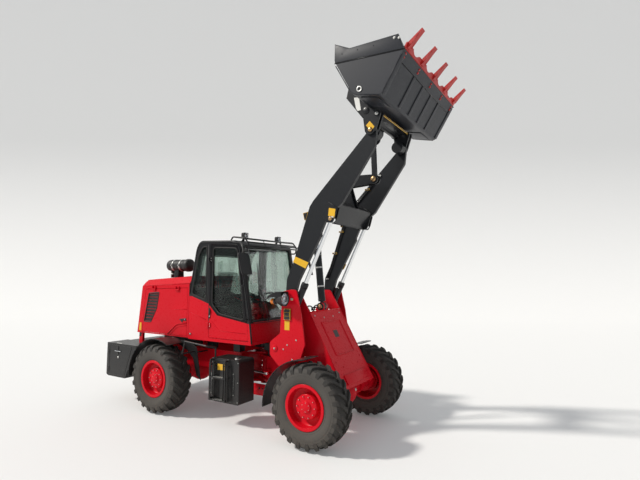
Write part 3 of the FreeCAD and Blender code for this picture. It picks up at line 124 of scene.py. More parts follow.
# Tyres: wide tubeless tyres with a tractor tread. The carcass is one turned ring of rubber, its
# side wall browner than the tread. Two staggered rows of slanted lugs meet at the crown and wrap
# over the shoulder onto the side wall; each lug is a six-sided bar swept along its slant.
REAR_AXLE_X = -2.65
AXLES, SIDES = (("front", 0), ("rear", REAR_AXLE_X)), (("left", 1), ("right", -1))
TYRE_RADIUS, TYRE_MIDDLE = 0.5, 0.802
CARCASS = [(-0.140, 0.2405), (-0.141, 0.268), (-0.150, 0.285), (-0.1625, 0.315), (-0.1665, 0.35),
           (-0.1655, 0.385), (-0.161, 0.415), (-0.152, 0.442), (-0.136, 0.459), (-0.1, 0.468),
           (-0.05, 0.4715), (0, 0.4725)]
SIDE_WALL_POINTS = 7
SIDE_RINGS = ((0.292, 0.003), (0.372, 0.0025), (0.402, 0.0025))
RING_ROOT, RING_RISE = 0.004, 0.0025
LUGS_A_SIDE, LUG_SLANT, LUG_FLANK, LUG_EDGE = 22, 0.26, 0.007, 0.006
# columns: top offset, top radius, base offset, base radius, share of the slant, half width
LUG_SECTIONS = (
    (0.006, 0.5000, 0.006, 0.462, 0.00, 0.0200), (0.050, 0.5000, 0.048, 0.462, 0.30, 0.0215),
    (0.095, 0.4975, 0.090, 0.460, 0.62, 0.0235), (0.130, 0.4900, 0.120, 0.454, 0.86, 0.0260),
    (0.154, 0.4740, 0.136, 0.444, 0.98, 0.0275), (0.1655, 0.4500, 0.146, 0.430, 1.00, 0.0260),
    (0.1674, 0.4200, 0.152, 0.412, 1.00, 0.0210), (0.1668, 0.3980, 0.158, 0.396, 1.00, 0.0170))


def group_sockets(tree, inputs, outputs):
    """Makes a node group's named sockets."""
    for name, kind, value in inputs:
        tree.interface.new_socket(name=name, in_out="INPUT", socket_type=kind).default_value = value
    for name, kind in outputs:
        tree.interface.new_socket(name=name, in_out="OUTPUT", socket_type=kind)
    return tree.nodes.new("NodeGroupInput").outputs, tree.nodes.new("NodeGroupOutput").inputs


def add(tree, kind, values=None, **settings):
    """A node with its settings and input values or links."""
    node = tree.nodes.new(kind)
    for name, value in settings.items():
        setattr(node, name, value)
    for name, value in (values or {}).items():
        if isinstance(value, bpy.types.NodeSocket):
            tree.links.new(value, node.inputs[name])
        else:
            node.inputs[name].default_value = value
    return node


def noise(tree, place, scale, detail, roughness=0.5):
    """Soft spots over the surface."""
    return add(tree, "ShaderNodeTexNoise", {"Vector": place, "Scale": scale, "Detail": detail,
                                            "Roughness": roughness}).outputs["Fac"]


def combine(tree, operation, first, second, clamp=False):
    """One step of arithmetic on masks or numbers."""
    return add(tree, "ShaderNodeMath", {0: first, 1: second}, operation=operation,
               use_clamp=clamp).outputs[0]


def spread(tree, value, low, high, start=0.0, end=1.0):
    """A mask that goes from start to end while the value goes from low to high."""
    return add(tree, "ShaderNodeMapRange", {"Value": value, "From Min": low, "From Max": high,
               "To Min": start, "To Max": end}).outputs[0]


def blend(tree, amount, first, second):
    """Two colours mixed by a mask."""
    return add(tree, "ShaderNodeMix", {"Factor": amount, 6: first, 7: second},
               data_type="RGBA").outputs[2]


# The skin of every painted, plastic or rubber part: slow changes of tone, a fine orange-peel
# bump, dust that settles low and on top, and paint rubbed off along the rounded edges.
coated = bpy.data.node_groups.new("coated", "ShaderNodeTree")
given, made = group_sockets(coated, [("Colour", "NodeSocketColor", (0.5, 0.5, 0.5, 1)),
                            ("Edge colour", "NodeSocketColor", (0.5, 0.5, 0.5, 1)),
                            ("Dust colour", "NodeSocketColor", (0.42, 0.38, 0.32, 1)),
                            ("Dust", "NodeSocketFloat", 0.15),
                            ("Edge wear", "NodeSocketFloat", 0.3),
                            ("Tone", "NodeSocketFloat", 0.06),
                            ("Roughness", "NodeSocketFloat", 0.3), ("Peel", "NodeSocketFloat", 0.1),
                            ("Rounding", "NodeSocketFloat", 0.004)], [("Colour", "NodeSocketColor"),
                            ("Roughness", "NodeSocketFloat"), ("Normal", "NodeSocketVector")])
place = add(coated, "ShaderNodeTexCoord").outputs["Object"]
normal = add(coated, "ShaderNodeNewGeometry").outputs["Normal"]
speck = noise(coated, place, 38.0, 6.0, 0.65)
rounded = add(coated, "ShaderNodeBevel", {"Radius": given["Rounding"]}, samples=4).outputs[0]
facing = add(coated, "ShaderNodeVectorMath", {0: rounded, 1: normal},
             operation="DOT_PRODUCT").outputs["Value"]
edge_spots = combine(coated, "MULTIPLY", spread(coated, facing, 0.985, 0.86), spread(coated, speck,
                     0.48, 0.62))
edge_amount = combine(coated, "MULTIPLY", edge_spots, given["Edge wear"])
low_down = spread(coated, add(coated, "ShaderNodeSeparateXYZ", {0: place}).outputs["Z"], 1.3, 0.1)
on_top = spread(coated, add(coated, "ShaderNodeSeparateXYZ", {0: normal}).outputs["Z"], 0.35, 1.0,
                0, 0.55)
clouded = spread(coated, speck, 0.3, 0.75)
settled = combine(coated, "MULTIPLY", combine(coated, "ADD", low_down, on_top), clouded)
dust_amount = combine(coated, "MULTIPLY", settled, given["Dust"], True)
slow_tone = spread(coated, noise(coated, place, 1.7, 4.0), 0.3, 0.7, -1.0, 1.0)
tone_value = combine(coated, "ADD", combine(coated, "MULTIPLY", slow_tone, given["Tone"]), 1.0)
toned = add(coated, "ShaderNodeVectorMath", {0: given["Colour"], "Scale": tone_value},
            operation="SCALE").outputs[0]
worn = blend(coated, edge_amount, toned, given["Edge colour"])
clean_rough = combine(coated, "ADD", given["Roughness"], combine(coated, "MULTIPLY", clouded, 0.12))
bumped = add(coated, "ShaderNodeBump", {"Height": noise(coated, place, 420.0, 2.0),
             "Strength": given["Peel"], "Distance": 0.0006, "Normal": rounded})
coated.links.new(blend(coated, dust_amount, worn, given["Dust colour"]), made["Colour"])
coated.links.new(combine(coated, "ADD", clean_rough, dust_amount, True), made["Roughness"])
coated.links.new(bumped.outputs[0], made["Normal"])


def finish(name, colour, roughness, dust=0.15, wear=0.3, edge_colour=None, tone=0.06, peel=0.1,
           rounding=0.004, metallic=0.0, coat=0.0, dust_colour=(0.42, 0.38, 0.32), specular=0.5):
    """A material from the shared skin, with this finish's own values."""
    material = bpy.data.materials.new(name)
    material.use_nodes = True
    tree = material.node_tree
    shader = tree.nodes["Principled BSDF"]
    shader.inputs["Metallic"].default_value = metallic
    shader.inputs["Specular IOR Level"].default_value = specular
    shader.inputs["Coat Weight"].default_value = coat
    shader.inputs["Coat Roughness"].default_value = 0.06
    worn_to = edge_colour or tuple(min(1.0, c * 1.6 + 0.03) for c in colour)
    skin = add(tree, "ShaderNodeGroup", {}, node_tree=coated)
    for socket, value in (("Colour", (*colour, 1)), ("Edge colour", (*worn_to, 1)),
                          ("Dust colour", (*dust_colour, 1)), ("Dust", dust), ("Edge wear", wear),
                          ("Tone", tone), ("Roughness", roughness), ("Peel", peel),
                          ("Rounding", rounding)):
        skin.inputs[socket].default_value = value
    for source, target in (("Colour", "Base Color"), ("Roughness", "Roughness"),
                           ("Normal", "Normal")):
        tree.links.new(skin.outputs[source], shader.inputs[target])
    return material


def loop(points):
    """The same path closed, starting halfway along its last side."""
    start = tuple((a + b) / 2 for a, b in zip(points[-1], points[0]))
    return [start] + list(points) + [start]


AHEAD, OUT, UPRIGHT = (1, 0, 0), (0, 1, 0), (0, 0, 1)


def crossways(way):
    """A direction square to the given one."""
    return way.cross(Vector(UPRIGHT if abs(way.z) < 0.9 else AHEAD)).normalized()


class Build:
    """Collects parts in one mesh: prisms, turned rings and bent tubes, each with its material."""

    def __init__(self):
        self.bm = bmesh.new()
        self.materials = []

    def paint(self, faces, material, smooth):
        """Turns the new faces outwards and gives them their material."""
        bmesh.ops.recalc_face_normals(self.bm, faces=faces)
        if material not in self.materials:
            self.materials.append(material)
        for face in faces:
            face.material_index = self.materials.index(material)
            face.smooth = smooth

    def ring(self, centre, u, w, radius, steps):
        """A circle of points."""
        turns = [2 * math.pi * k / steps for k in range(steps)]
        return [self.bm.verts.new(centre + (u * math.cos(t) + w * math.sin(t)) * radius)
                for t in turns]

    def prism(self, points, plane, low, high, material, bevel=0.0, segments=2):
        """Outline (a, b) in a plane, drawn out from low to high along its normal, edges rounded."""
        set_out = {"x": lambda a, b, c: (c, a, b), "y": lambda a, b, c: (a, c, b),
                   "z": lambda a, b, c: (a, b, c)}[plane]
        rings = [[self.bm.verts.new(at(*set_out(a, b, c))) for a, b in points] for c in (low, high)]
        faces = [self.bm.faces.new(rings[0]), self.bm.faces.new(list(reversed(rings[1])))]
        count = len(points)
        for i in range(count):
            j = (i + 1) % count
            faces.append(self.bm.faces.new((rings[0][j], rings[0][i], rings[1][i], rings[1][j])))
        self.paint(faces, material, bool(bevel))
        if bevel:
            edges = list({edge for face in faces for edge in face.edges})
            bmesh.ops.bevel(self.bm, geom=edges, offset=bevel, segments=segments, profile=0.6,
                            affect="EDGES", clamp_overlap=True)

    def block(self, x, y, z, material, bevel=0.003):
        """A bevelled block from (low, high) pairs."""
        self.prism([(x[0], y[0]), (x[1], y[0]), (x[1], y[1]), (x[0], y[1])], "z", z[0], z[1],
                   material, bevel)

    def turned(self, profile, origin, axis, material, steps=24, smooth=True, closed=False):
        """A profile of (distance along the axis, radius) turned about the axis from the origin."""
        axis = Vector(axis).normalized()
        u = crossways(axis)
        rings = [self.ring(at(*origin) + axis * distance, u, axis.cross(u), radius,
                           steps if radius else 1) for distance, radius in profile]
        faces = []
        for a, b in zip(rings, rings[1:] + rings[:closed]):
            for k in range(steps):
                m = (k + 1) % steps
                corners = dict.fromkeys((a[k % len(a)], a[m % len(a)], b[m % len(b)],
                                         b[k % len(b)]))
                if len(corners) > 2:
                    faces.append(self.bm.faces.new(list(corners)))
        self.paint(faces, material, smooth)

    def disc(self, origin, axis, radius, height, material, steps=24, rim=(0.004, 0.004)):
        """A flat cap; rim is how far its edge is cut back along and across."""
        self.turned([(0, 0), (0, radius), (height - rim[0], radius), (height, radius - rim[1]),
                     (height, 0)], origin, axis, material, steps)

    def bolt(self, origin, axis, size, material, washer=True):
        """A hexagon bolt head with its washer, seated at the origin and pointing along the axis."""
        if washer:
            self.turned([(0, 0), (0, size * 1.05), (size * 0.22, size * 1.05), (size * 0.22, 0)],
                        origin, axis, material, 16, False)
        self.turned([(size * 0.2, 0), (size * 0.2, size * 0.8), (size * 0.75, size * 0.8),
                     (size * 0.9, size * 0.62), (size * 0.9, 0)], origin, axis, material, 6, False)

    def tube(self, points, radius, material, corner=0.05, steps=12, caps=True):
        """A round pipe through points, its corners bent on a radius."""
        places = [at(*p) for p in points]
        path = [places[0]]
        for before, here, after in zip(places, places[1:], places[2:]):
            a, b = (before - here), (after - here)
            cut_back = min(corner, a.length * 0.45, b.length * 0.45)
            start, end = here + a.normalized() * cut_back, here + b.normalized() * cut_back
            for k in range(6):
                t = k / 5
                path.append(start * (1 - t) ** 2 + here * 2 * t * (1 - t) + end * t ** 2)
        path.append(places[-1])
        rings = []
        normal = None
        for i, point in enumerate(path):
            way = (path[min(i + 1, len(path) - 1)] - path[max(i - 1, 0)]).normalized()
            normal = normal or crossways(way)
            normal = (normal - way * normal.dot(way)).normalized()
            rings.append(self.ring(point, normal, way.cross(normal), radius, steps))
        faces = []
        for a, b in zip(rings, rings[1:]):
            for k in range(steps):
                m = (k + 1) % steps
                faces.append(self.bm.faces.new((a[k], a[m], b[m], b[k])))
        if caps:
            faces.append(self.bm.faces.new(rings[0]))
            faces.append(self.bm.faces.new(list(reversed(rings[-1]))))
        self.paint(faces, material, True)

    def seal(self, points, radius, material, corner=0.05, steps=8):
        """A round strip that goes all the way round through points."""
        self.tube(loop(points), radius, material, corner, steps, False)

    def bead(self, y, points, radius, material, corner=0.05, steps=8):
        """A weld bead, crease or pipe through (x, z) points at one depth."""
        self.tube([(x, y, z) for x, z in points], radius, material, corner, steps)

    def mirrored(self):
        """Adds the mirror image of everything so far on the machine's other side."""
        made = bmesh.ops.duplicate(self.bm, geom=self.bm.faces[:] + self.bm.edges[:] +
                                   self.bm.verts[:])["geom"]
        verts = [v for v in made if isinstance(v, bmesh.types.BMVert)]
        faces = [f for f in made if isinstance(f, bmesh.types.BMFace)]
        for vert in verts:
            vert.co.y = -vert.co.y
        bmesh.ops.reverse_faces(self.bm, faces=faces)

    def done(self, name, body, replaced=(), flip=False):
        """Makes the object, hangs it on its body and hides the CAD parts it stands for."""
        mesh = bpy.data.meshes.new(name)
        if flip:
            for vert in self.bm.verts:
                vert.co.y = -vert.co.y
            bmesh.ops.reverse_faces(self.bm, faces=self.bm.faces[:])
        self.bm.to_mesh(mesh)
        self.bm.free()
        for material in self.materials:
            mesh.materials.append(material)
        made = bpy.data.objects.new(name, mesh)
        bpy.context.scene.collection.objects.link(made)
        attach(made, body)
        if replaced:
            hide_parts(*replaced)


def add_lug(build, centre, row, start, material):
    """One lug of the tread: row is -1 or 1, start its angle at the crown."""
    rings = []
    for top_a, top_r, base_a, base_r, share, half in LUG_SECTIONS:
        ring = []
        for a, r, across in ((base_a, base_r, -half - LUG_FLANK),
                             (top_a, top_r - LUG_EDGE, -half - 0.001),
                             (top_a - 0.001, top_r, -half + 0.004),
                             (top_a - 0.001, top_r, half - 0.004),
                             (top_a, top_r - LUG_EDGE, half + 0.001),
                             (base_a, base_r, half + LUG_FLANK)):
            turn = start - LUG_SLANT * share + across / top_r
            ring.append(build.bm.verts.new(at(centre[0] + r * math.sin(turn), centre[1] + row * a,
                                              centre[2] + r * math.cos(turn))))
        rings.append(ring)
    faces = [build.bm.faces.new(rings[0]), build.bm.faces.new(list(reversed(rings[-1])))]
    for a, b in zip(rings, rings[1:]):
        for k in range(5):
            faces.append(build.bm.faces.new((a[k], a[k + 1], b[k + 1], b[k])))
    build.paint(faces, material, False)


dark_rubber = finish("dark_rubber", (0.014, 0.013, 0.012), 0.58, dust=0.5, wear=0.5,
                     edge_colour=(0.045, 0.04, 0.036), dust_colour=(0.13, 0.11, 0.09), peel=0.5,
                     tone=0.2)
side_rubber = finish("side_rubber", (0.05, 0.045, 0.04), 0.6, dust=0.5, wear=0.3,
                     edge_colour=(0.09, 0.08, 0.07), dust_colour=(0.16, 0.14, 0.115), peel=0.5,
                     tone=0.25)
carcass_round = CARCASS + [(-a, r) for a, r in reversed(CARCASS[:-1])]
tread_end = len(carcass_round) - SIDE_WALL_POINTS
for end, wheel_x in AXLES:
    for hand, out in SIDES:
        wheel = Build()
        middle = (wheel_x, out * TYRE_MIDDLE, TYRE_RADIUS)
        for part, rubber in ((carcass_round[:SIDE_WALL_POINTS + 1], side_rubber),
                             (carcass_round[SIDE_WALL_POINTS:tread_end], dark_rubber),
                             (carcass_round[tread_end - 1:], side_rubber)):
            wheel.turned(part, middle, OUT, rubber, 96)
        for ring_radius, ring_half in SIDE_RINGS:
            side_at = next(a + (b - a) * (ring_radius - p) / (q - p)
                           for (a, p), (b, q) in zip(CARCASS, CARCASS[1:]) if p <= ring_radius <= q)
            for sign in (-1, 1):
                wheel.turned([(sign * (side_at + RING_ROOT), ring_radius - ring_half),
                              (sign * (side_at - RING_RISE), ring_radius - ring_half * 0.5),
                              (sign * (side_at - RING_RISE), ring_radius + ring_half * 0.5),
                              (sign * (side_at + RING_ROOT), ring_radius + ring_half)], middle, OUT,
                             side_rubber, 72)
        for i in range(LUGS_A_SIDE):
            pitch = 2 * math.pi / LUGS_A_SIDE
            add_lug(wheel, middle, 1, i * pitch, dark_rubber)
            add_lug(wheel, middle, -1, (i + 0.5) * pitch, dark_rubber)
        wheel.done("tread_tyre_%s_%s" % (end, hand), "wheel_%s_%s" % (end, hand),
                   ("tyre_%s_%s" % (end, hand),))

# Rims: pressed steel rims, deep dished, painted red. The hub carries ten nuts on studs round a
# raised cap with its own small screws; a valve stem stands in the dish and the flange has a
# rolled lip.
NUT_CIRCLE, NUT_COUNT, HUB_FACE, RIM_LIP = 0.122, 10, 0.908, 0.952
CAP_SCREWS, CAP_CIRCLE = 6, 0.05


def dress(material, *nodes):
    """Gives CAD nodes their material."""
    for node in nodes:
        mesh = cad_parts[node].data
        mesh.materials.clear()
        mesh.materials.append(material)


red_paint = finish("red_paint", (0.60, 0.006, 0.016), 0.24, dust=0.0, wear=0.12,
                   edge_colour=(0.7, 0.06, 0.06), coat=0.05, peel=0.04, specular=0.1, tone=0.04)
zinc = finish("zinc", (0.55, 0.55, 0.53), 0.35, dust=0.1, wear=0.0, metallic=0.85, rounding=0.001)
black_plastic = finish("black_plastic", (0.013, 0.013, 0.013), 0.48, dust=0.1, wear=0.1, peel=0.5)
for end, wheel_x in AXLES:
    for hand, out in SIDES:
        dress(red_paint, "rim_%s_%s" % (end, hand))
        rim_trim = Build()
        face_y = out * HUB_FACE
        hub_at, lip_at = (wheel_x, face_y, TYRE_RADIUS), (wheel_x, out * RIM_LIP, TYRE_RADIUS)
        rim_trim.turned([(0.0005, 0), (0.018, 0), (0.018, 0.058), (0.013, 0.066), (0.0005, 0.07)],
                        hub_at, (0, out, 0), red_paint, 48)
        rim_trim.turned([(-0.060, 0.150), (-0.050, 0.1505), (-0.006, 0.1465), (-0.001, 0.143),
                         (0.001, 0.139), (0.001, 0)], hub_at, (0, out, 0), red_paint, 64)
        rim_trim.turned([(-0.009, 0.262), (-0.001, 0.2675), (0, 0.258), (-0.004, 0.246),
                         (-0.02, 0.236), (-0.09, 0.2295), (-0.104, 0.223), (-0.106, 0.152)], lip_at,
                        (0, out, 0), red_paint, 96)
        for i in range(NUT_COUNT):
            turn = 2 * math.pi * (i + 0.5) / NUT_COUNT
            x, z = wheel_x + NUT_CIRCLE * math.sin(turn), TYRE_RADIUS + NUT_CIRCLE * math.cos(turn)
            rim_trim.bolt((x, face_y + out * 0.0005, z), (0, out, 0), 0.0105, red_paint)
            rim_trim.turned([(0.008, 0.0052), (0.017, 0.0048), (0.018, 0)], (x, face_y, z),
                            (0, out, 0), zinc, 10, False)
        for i in range(CAP_SCREWS):
            turn = 2 * math.pi * i / CAP_SCREWS
            rim_trim.bolt((wheel_x + CAP_CIRCLE * math.sin(turn), face_y + out * 0.0175,
                           TYRE_RADIUS + CAP_CIRCLE * math.cos(turn)), (0, out, 0), 0.005, zinc,
                          False)
        valve_y = out * TYRE_MIDDLE
        rim_trim.tube([(wheel_x + 0.10, valve_y + out * 0.05, 0.70),
                       (wheel_x + 0.10, valve_y + out * 0.09, 0.69)], 0.005, black_plastic, steps=8)
        rim_trim.done("rim_trim_%s_%s" % (end, hand), "wheel_%s_%s" % (end, hand))

# Cab: a welded frame painted black, with green tinted glass. A tube edge runs round each side,
# rubber seals hold the windows, the roof has two pressed ribs and a pale lining, a tubular guard
# stands over the windshield's top, and the wiper sits on its motor boss.
SKIN_FACE = 0.6195
QUARTER = [(-2.25, 1.74), (-2.135, 2.30), (-2.05, 2.435), (-1.96, 2.45), (-1.96, 1.66)]


def screen_x(z, lift=0.0):
    """x of the windshield's outer plane at a height, moved out by lift."""
    return -1.125 - (z - 1.37) * 0.205 / 1.145 + lift


def back_x(z, lift=0.0):
    """x of the rear window's outer plane at a height, moved out by lift."""
    return -2.305 + (z - 1.74) * 0.165 / 0.795 - lift


def pane(x_at, low, high, half, lift):
    """The corners of a window or opening in a raked plane."""
    return [(x_at(z, lift), y, z) for y, z in ((-half, low), (-half, high), (half, high),
            (half, low))]


def clear(name, colour, roughness=0.01, ior=1.3, alpha=1.0):
    """Clear sheet that the light goes through, with a faint film of dust in patches."""
    material = bpy.data.materials.new(name)
    material.use_nodes = True
    tree = material.node_tree
    shader = tree.nodes["Principled BSDF"]
    for socket, value in (("Base Color", (*colour, 1)), ("Transmission Weight", 1.0), ("IOR", ior),
                          ("Alpha", alpha)):
        shader.inputs[socket].default_value = value
    grime = noise(tree, add(tree, "ShaderNodeTexCoord").outputs["Object"], 2.2, 5.0)
    tree.links.new(spread(tree, grime, 0.45, 0.8, roughness, roughness + 0.05),
                   shader.inputs["Roughness"])
    return material


black_paint = finish("black_paint", (0.008, 0.008, 0.009), 0.3, dust=0.08, wear=0.3,
                     edge_colour=(0.07, 0.07, 0.07), coat=0.1, specular=0.3)
tinted_glass = clear("tinted_glass", (0.26, 0.40, 0.33), alpha=0.5)
lining_grey = finish("lining_grey", (0.3, 0.3, 0.29), 0.8, dust=0.05, wear=0.0)
dress(black_paint, "cab_frame", "cab_floor")
dress(tinted_glass, "cab_glass", "door_glass_left", "door_glass_right")
cab = Build()
cab.bead(0.616, [(-2.297, 1.745), (-2.145, 2.512), (-1.345, 2.503), (-1.118, 1.372), (-1.08, 1.09)],
         0.0125, black_paint, 0.14, steps=12)
cab.seal([(x, 0.6185, z) for x, z in QUARTER], 0.0085, dark_rubber)
cab.bead(0.6185, [(-1.925, 1.62), (-1.925, 2.47)], 0.007, black_plastic)
cab.mirrored()
cab.seal(pane(screen_x, 1.395, 2.43, 0.552, -0.003), 0.010, dark_rubber)
cab.seal(pane(back_x, 1.81, 2.32, 0.462, -0.004), 0.009, dark_rubber)
for y in (-0.3, 0.3):
    cab.prism([(-2.06, 2.5345), (-2.03, 2.5425), (-1.47, 2.5285), (-1.44, 2.5185)], "y", y - 0.09,
              y + 0.09, black_paint, 0.006)
cab.block((-2.08, -1.42), (-0.55, 0.55), (2.468, 2.474), lining_grey, 0.004)
cab.block((-1.62, -1.40), (-0.16, 0.16), (2.42, 2.466), black_plastic, 0.012)
for y in (-0.585, 0.585):
    cab.bead(y, [(-1.52, 2.524), (-1.49, 2.572), (-1.26, 2.548), (-1.185, 2.46), (-1.205, 2.37),
                 (-1.318, 2.372)], 0.011, black_paint, 0.03, steps=12)
for x, z in ((-1.47, 2.569), (-1.245, 2.537), (-1.205, 2.490), (-1.187, 2.435)):
    cab.tube([(x, -0.585, z), (x, 0.585, z)], 0.0105, black_paint)
for y in (-0.2, 0.2):
    cab.bead(y, [(-1.245, 2.537), (-1.187, 2.435)], 0.006, black_paint)
cab.turned([(0, 0), (0, 0.026), (0.022, 0.024), (0.03, 0.014), (0.03, 0)], (screen_x(1.37), -0.22,
           1.37), (1, 0, 0.15), black_plastic, 20)
cab.tube([(screen_x(1.37, 0.03), -0.22, 1.372), (screen_x(1.7, 0.034), -0.30, 1.70),
          (screen_x(1.9, 0.02), -0.33, 1.9)], 0.0055, black_plastic, corner=0.1, steps=8)
cab.tube([(screen_x(1.62, 0.012), -0.345, 1.62), (screen_x(2.2, 0.012), -0.315, 2.2)], 0.005,
         dark_rubber, steps=8)
cab.tube([(screen_x(1.63, 0.018), -0.345, 1.63), (screen_x(2.19, 0.018), -0.315, 2.19)], 0.0035,
         black_plastic, steps=6)
for z in (2.0, 2.31):
    cab.bead(0.2, [(screen_x(2.43, -0.035), 2.40), (screen_x(2.43, -0.045), 2.36)], 0.006,
             black_plastic, steps=12)
cab.done("cab_fittings", "rear_frame")

# Lower cab: creases pressed in the red rear quarter panels, a black rubber sill under the
# windshield, bolted feet, and the small grab handles at the cab's rear corner.
dress(red_paint, "cab_panels")
sill = Build()
sill.bead(SKIN_FACE, [(-2.262, 1.463), (-1.945, 1.372)], 0.0045, red_paint)
sill.block((-2.285, -2.235), (0.618, 0.626), (1.13, 1.165), black_plastic, 0.004)
sill.disc((-2.262, 0.625, 1.147), OUT, 0.011, 0.006, zinc, 16, rim=(0.001, 0.004))
sill.mirrored()
sill.block((-1.105, -1.088), (-0.56, 0.56), (1.352, 1.376), dark_rubber, 0.006)
sill.tube([(-1.0745, -0.60, 1.10), (-1.0745, 0.60, 1.10)], 0.006, red_paint, steps=8)
sill.done("cab_sill", "rear_frame")

# Inside the cab, seen through the glass: dash hood with a dark instrument face and switches, two
# control levers with boots on the right console, a rubber floor mat and the door pocket boxes.
lens_glass = clear("lens_glass", (0.92, 0.95, 0.96))
dress(black_plastic, "steering_column")
inside = Build()
inside.prism([(-1.345, 1.46), (-1.36, 1.60), (-1.30, 1.63), (-1.20, 1.52), (-1.20, 1.44)], "y",
             -0.17, 0.17, black_plastic, 0.012)
inside.block((-1.352, -1.347), (-0.12, 0.12), (1.50, 1.585), lens_glass, 0.001)
inside.prism([(-1.95, 1.115), (-1.95, 1.56), (-1.62, 1.55), (-1.55, 1.46), (-1.55, 1.115)], "y",
             -0.50, -0.32, black_plastic, 0.015)
for x in (-1.62, -1.70):
    inside.turned([(0, 0.03), (0.02, 0.027), (0.03, 0.03), (0.045, 0.02), (0.055, 0.008),
                   (0.16, 0.006), (0.165, 0.018), (0.19, 0.021), (0.215, 0.018), (0.222, 0)],
                  (x, -0.41, 1.548), (0.12, 0, 1), black_plastic, 16)
inside.block((-2.2, -1.15), (-0.55, 0.55), (1.111, 1.119), dark_rubber, 0.003)
inside.block((-1.133, -1.123), (-0.565, 0.565), (1.12, 1.352), black_plastic, 0.003)
inside.block((-2.262, -2.250), (-0.565, 0.565), (1.12, 1.72), black_plastic, 0.003)
for low, high in ((-0.5795, -0.572), (0.572, 0.5795)):
    inside.prism([(-2.25, 1.12), (-2.25, 1.70), (-1.96, 1.60), (-1.96, 1.12)], "y", low, high,
                 black_plastic, 0.002)
inside.turned([(0, 0.045), (0, 0), (0.03, 0), (0.034, 0.03), (0.03, 0.045)], (-1.428, 0, 1.697),
              (-0.43, 0, 0.9), black_plastic, 24)
inside.done("cab_inside", "rear_frame")

# Cab doors: pressed red panel with a rubber seal round the window, a crease that follows the
# sill, a black handle with its chrome button, and screws on the hinge leaves. The panel is red up
# to the line under its window and black above it.
WINDOW = [(-1.832, 1.603), (-1.832, 2.427), (-1.372, 2.407), (-1.218, 1.403), (-1.69, 1.473)]
DOOR_RED, DOOR_BLACK = (0.60, 0.006, 0.016), (0.008, 0.008, 0.009)
DOOR_LINES = ((-0.89, -0.092), (-0.145, 1.1946))
chrome = finish("chrome", (0.78, 0.79, 0.8), 0.07, dust=0.02, wear=0.0, metallic=1.0, peel=0.0,
                rounding=0.001)
door_paint = finish("door_paint", DOOR_RED, 0.24, dust=0.0, wear=0.12,
                    edge_colour=(0.2, 0.03, 0.03), coat=0.05, peel=0.04, specular=0.1, tone=0.04)
door_tree = door_paint.node_tree
door_place = add(door_tree, "ShaderNodeSeparateXYZ",
                 {0: add(door_tree, "ShaderNodeTexCoord").outputs["Object"]})
lines = []
for slope, level in DOOR_LINES:
    line = add(door_tree, "ShaderNodeMath", {0: door_place.outputs["X"], 1: slope,
               2: level - slope * FRONT_AXLE_X}, operation="MULTIPLY_ADD")
    lines.append(line.outputs[0])
above_line = combine(door_tree, "GREATER_THAN", door_place.outputs["Z"], combine(door_tree,
                     "MAXIMUM", *lines))
door_skin = next(node for node in door_tree.nodes if node.type == "GROUP")
door_tree.links.new(blend(door_tree, above_line, (*DOOR_RED, 1), (*DOOR_BLACK, 1)),
                    door_skin.inputs["Colour"])
dress(door_paint, "door_left", "door_right")
for hand, out in SIDES:
    trim = Build()
    trim.seal([(x, 0.6175, z) for x, z in WINDOW], 0.009, dark_rubber, 0.06)
    trim.bead(SKIN_FACE, [(-1.875, 1.372), (-1.84, 1.362), (-1.70, 1.245), (-1.665, 1.232),
                          (-1.185, 1.222)], 0.0045, red_paint, 0.03)
    trim.bead(SKIN_FACE, [(-1.872, 1.135), (-1.15, 1.128)], 0.004, red_paint)
    trim.block((-1.881, -1.859), (0.612, 0.627), (1.395, 1.545), black_plastic, 0.006)
    trim.prism([(-1.876, 1.46), (-1.876, 1.53), (-1.853, 1.525), (-1.853, 1.465)], "y", 0.626,
               0.640, black_plastic, 0.004)
    trim.disc((-1.868, 0.626, 1.425), OUT, 0.008, 0.007, chrome, 16, rim=(0.001, 0.003))
    for z in (1.300, 2.250):
        for rise in (-0.018, 0.018):
            trim.turned([(0, 0), (0, 0.006), (0.003, 0.005), (0.0035, 0)], (-1.86, 0.630, z + rise),
                        OUT, zinc, 10)
    trim.tube([(-1.80, 0.575, 1.66), (-1.80, 0.55, 1.66), (-1.80, 0.55, 1.95),
               (-1.80, 0.575, 1.95)], 0.009, black_plastic, corner=0.02)
    trim.prism([(-1.872, 1.125), (-1.872, 1.60), (-1.70, 1.43), (-1.20, 1.36), (-1.17, 1.125)], "y",
               0.571, 0.5795, black_plastic, 0.003)
    trim.done("door_trim_" + hand, "door_" + hand, flip=out < 0)

# Mirrors: tall black plastic shells on bent tube arms from the roof's front corner, with silvered
# glass at the back and a rubber joint where shell meets arm.
MIRROR_MIDDLE, MIRROR_TURN, MIRROR_LEAN = (-1.06, 0.805, 2.18), math.radians(32), 0.28
mirror_glass = finish("mirror_glass", (0.8, 0.82, 0.84), 0.03, dust=0.02, wear=0.0, metallic=1.0,
                      peel=0.0)
dress(black_plastic, "mirrors")
mirrors = Build()
mirrors.tube([(-1.41, 0.625, 2.488), (-1.38, 0.70, 2.487), (-1.18, 0.745, 2.468),
              (-1.096, 0.80, 2.335), (-1.096, 0.80, 2.30)], 0.0095, black_paint, corner=0.06)
mirrors.block((-1.44, -1.38), (0.6205, 0.6325), (2.474, 2.502), black_paint, 0.003)
for x in (-1.43, -1.39):
    mirrors.bolt((x, 0.6325, 2.488), OUT, 0.005, zinc, False)
arms = set(mirrors.bm.verts)
mirrors.prism([(0.730, 2.05), (0.727, 2.30), (0.742, 2.325), (0.868, 2.325), (0.883, 2.30),
               (0.880, 2.05), (0.865, 2.033), (0.745, 2.033)], "x", -1.077, -1.043, black_plastic,
              0.012, 3)
mirrors.prism([(0.742, 2.055), (0.742, 2.305), (0.869, 2.305), (0.869, 2.055)], "x", -1.0795,
              -1.0765, mirror_glass)
mirror_at = at(*MIRROR_MIDDLE)
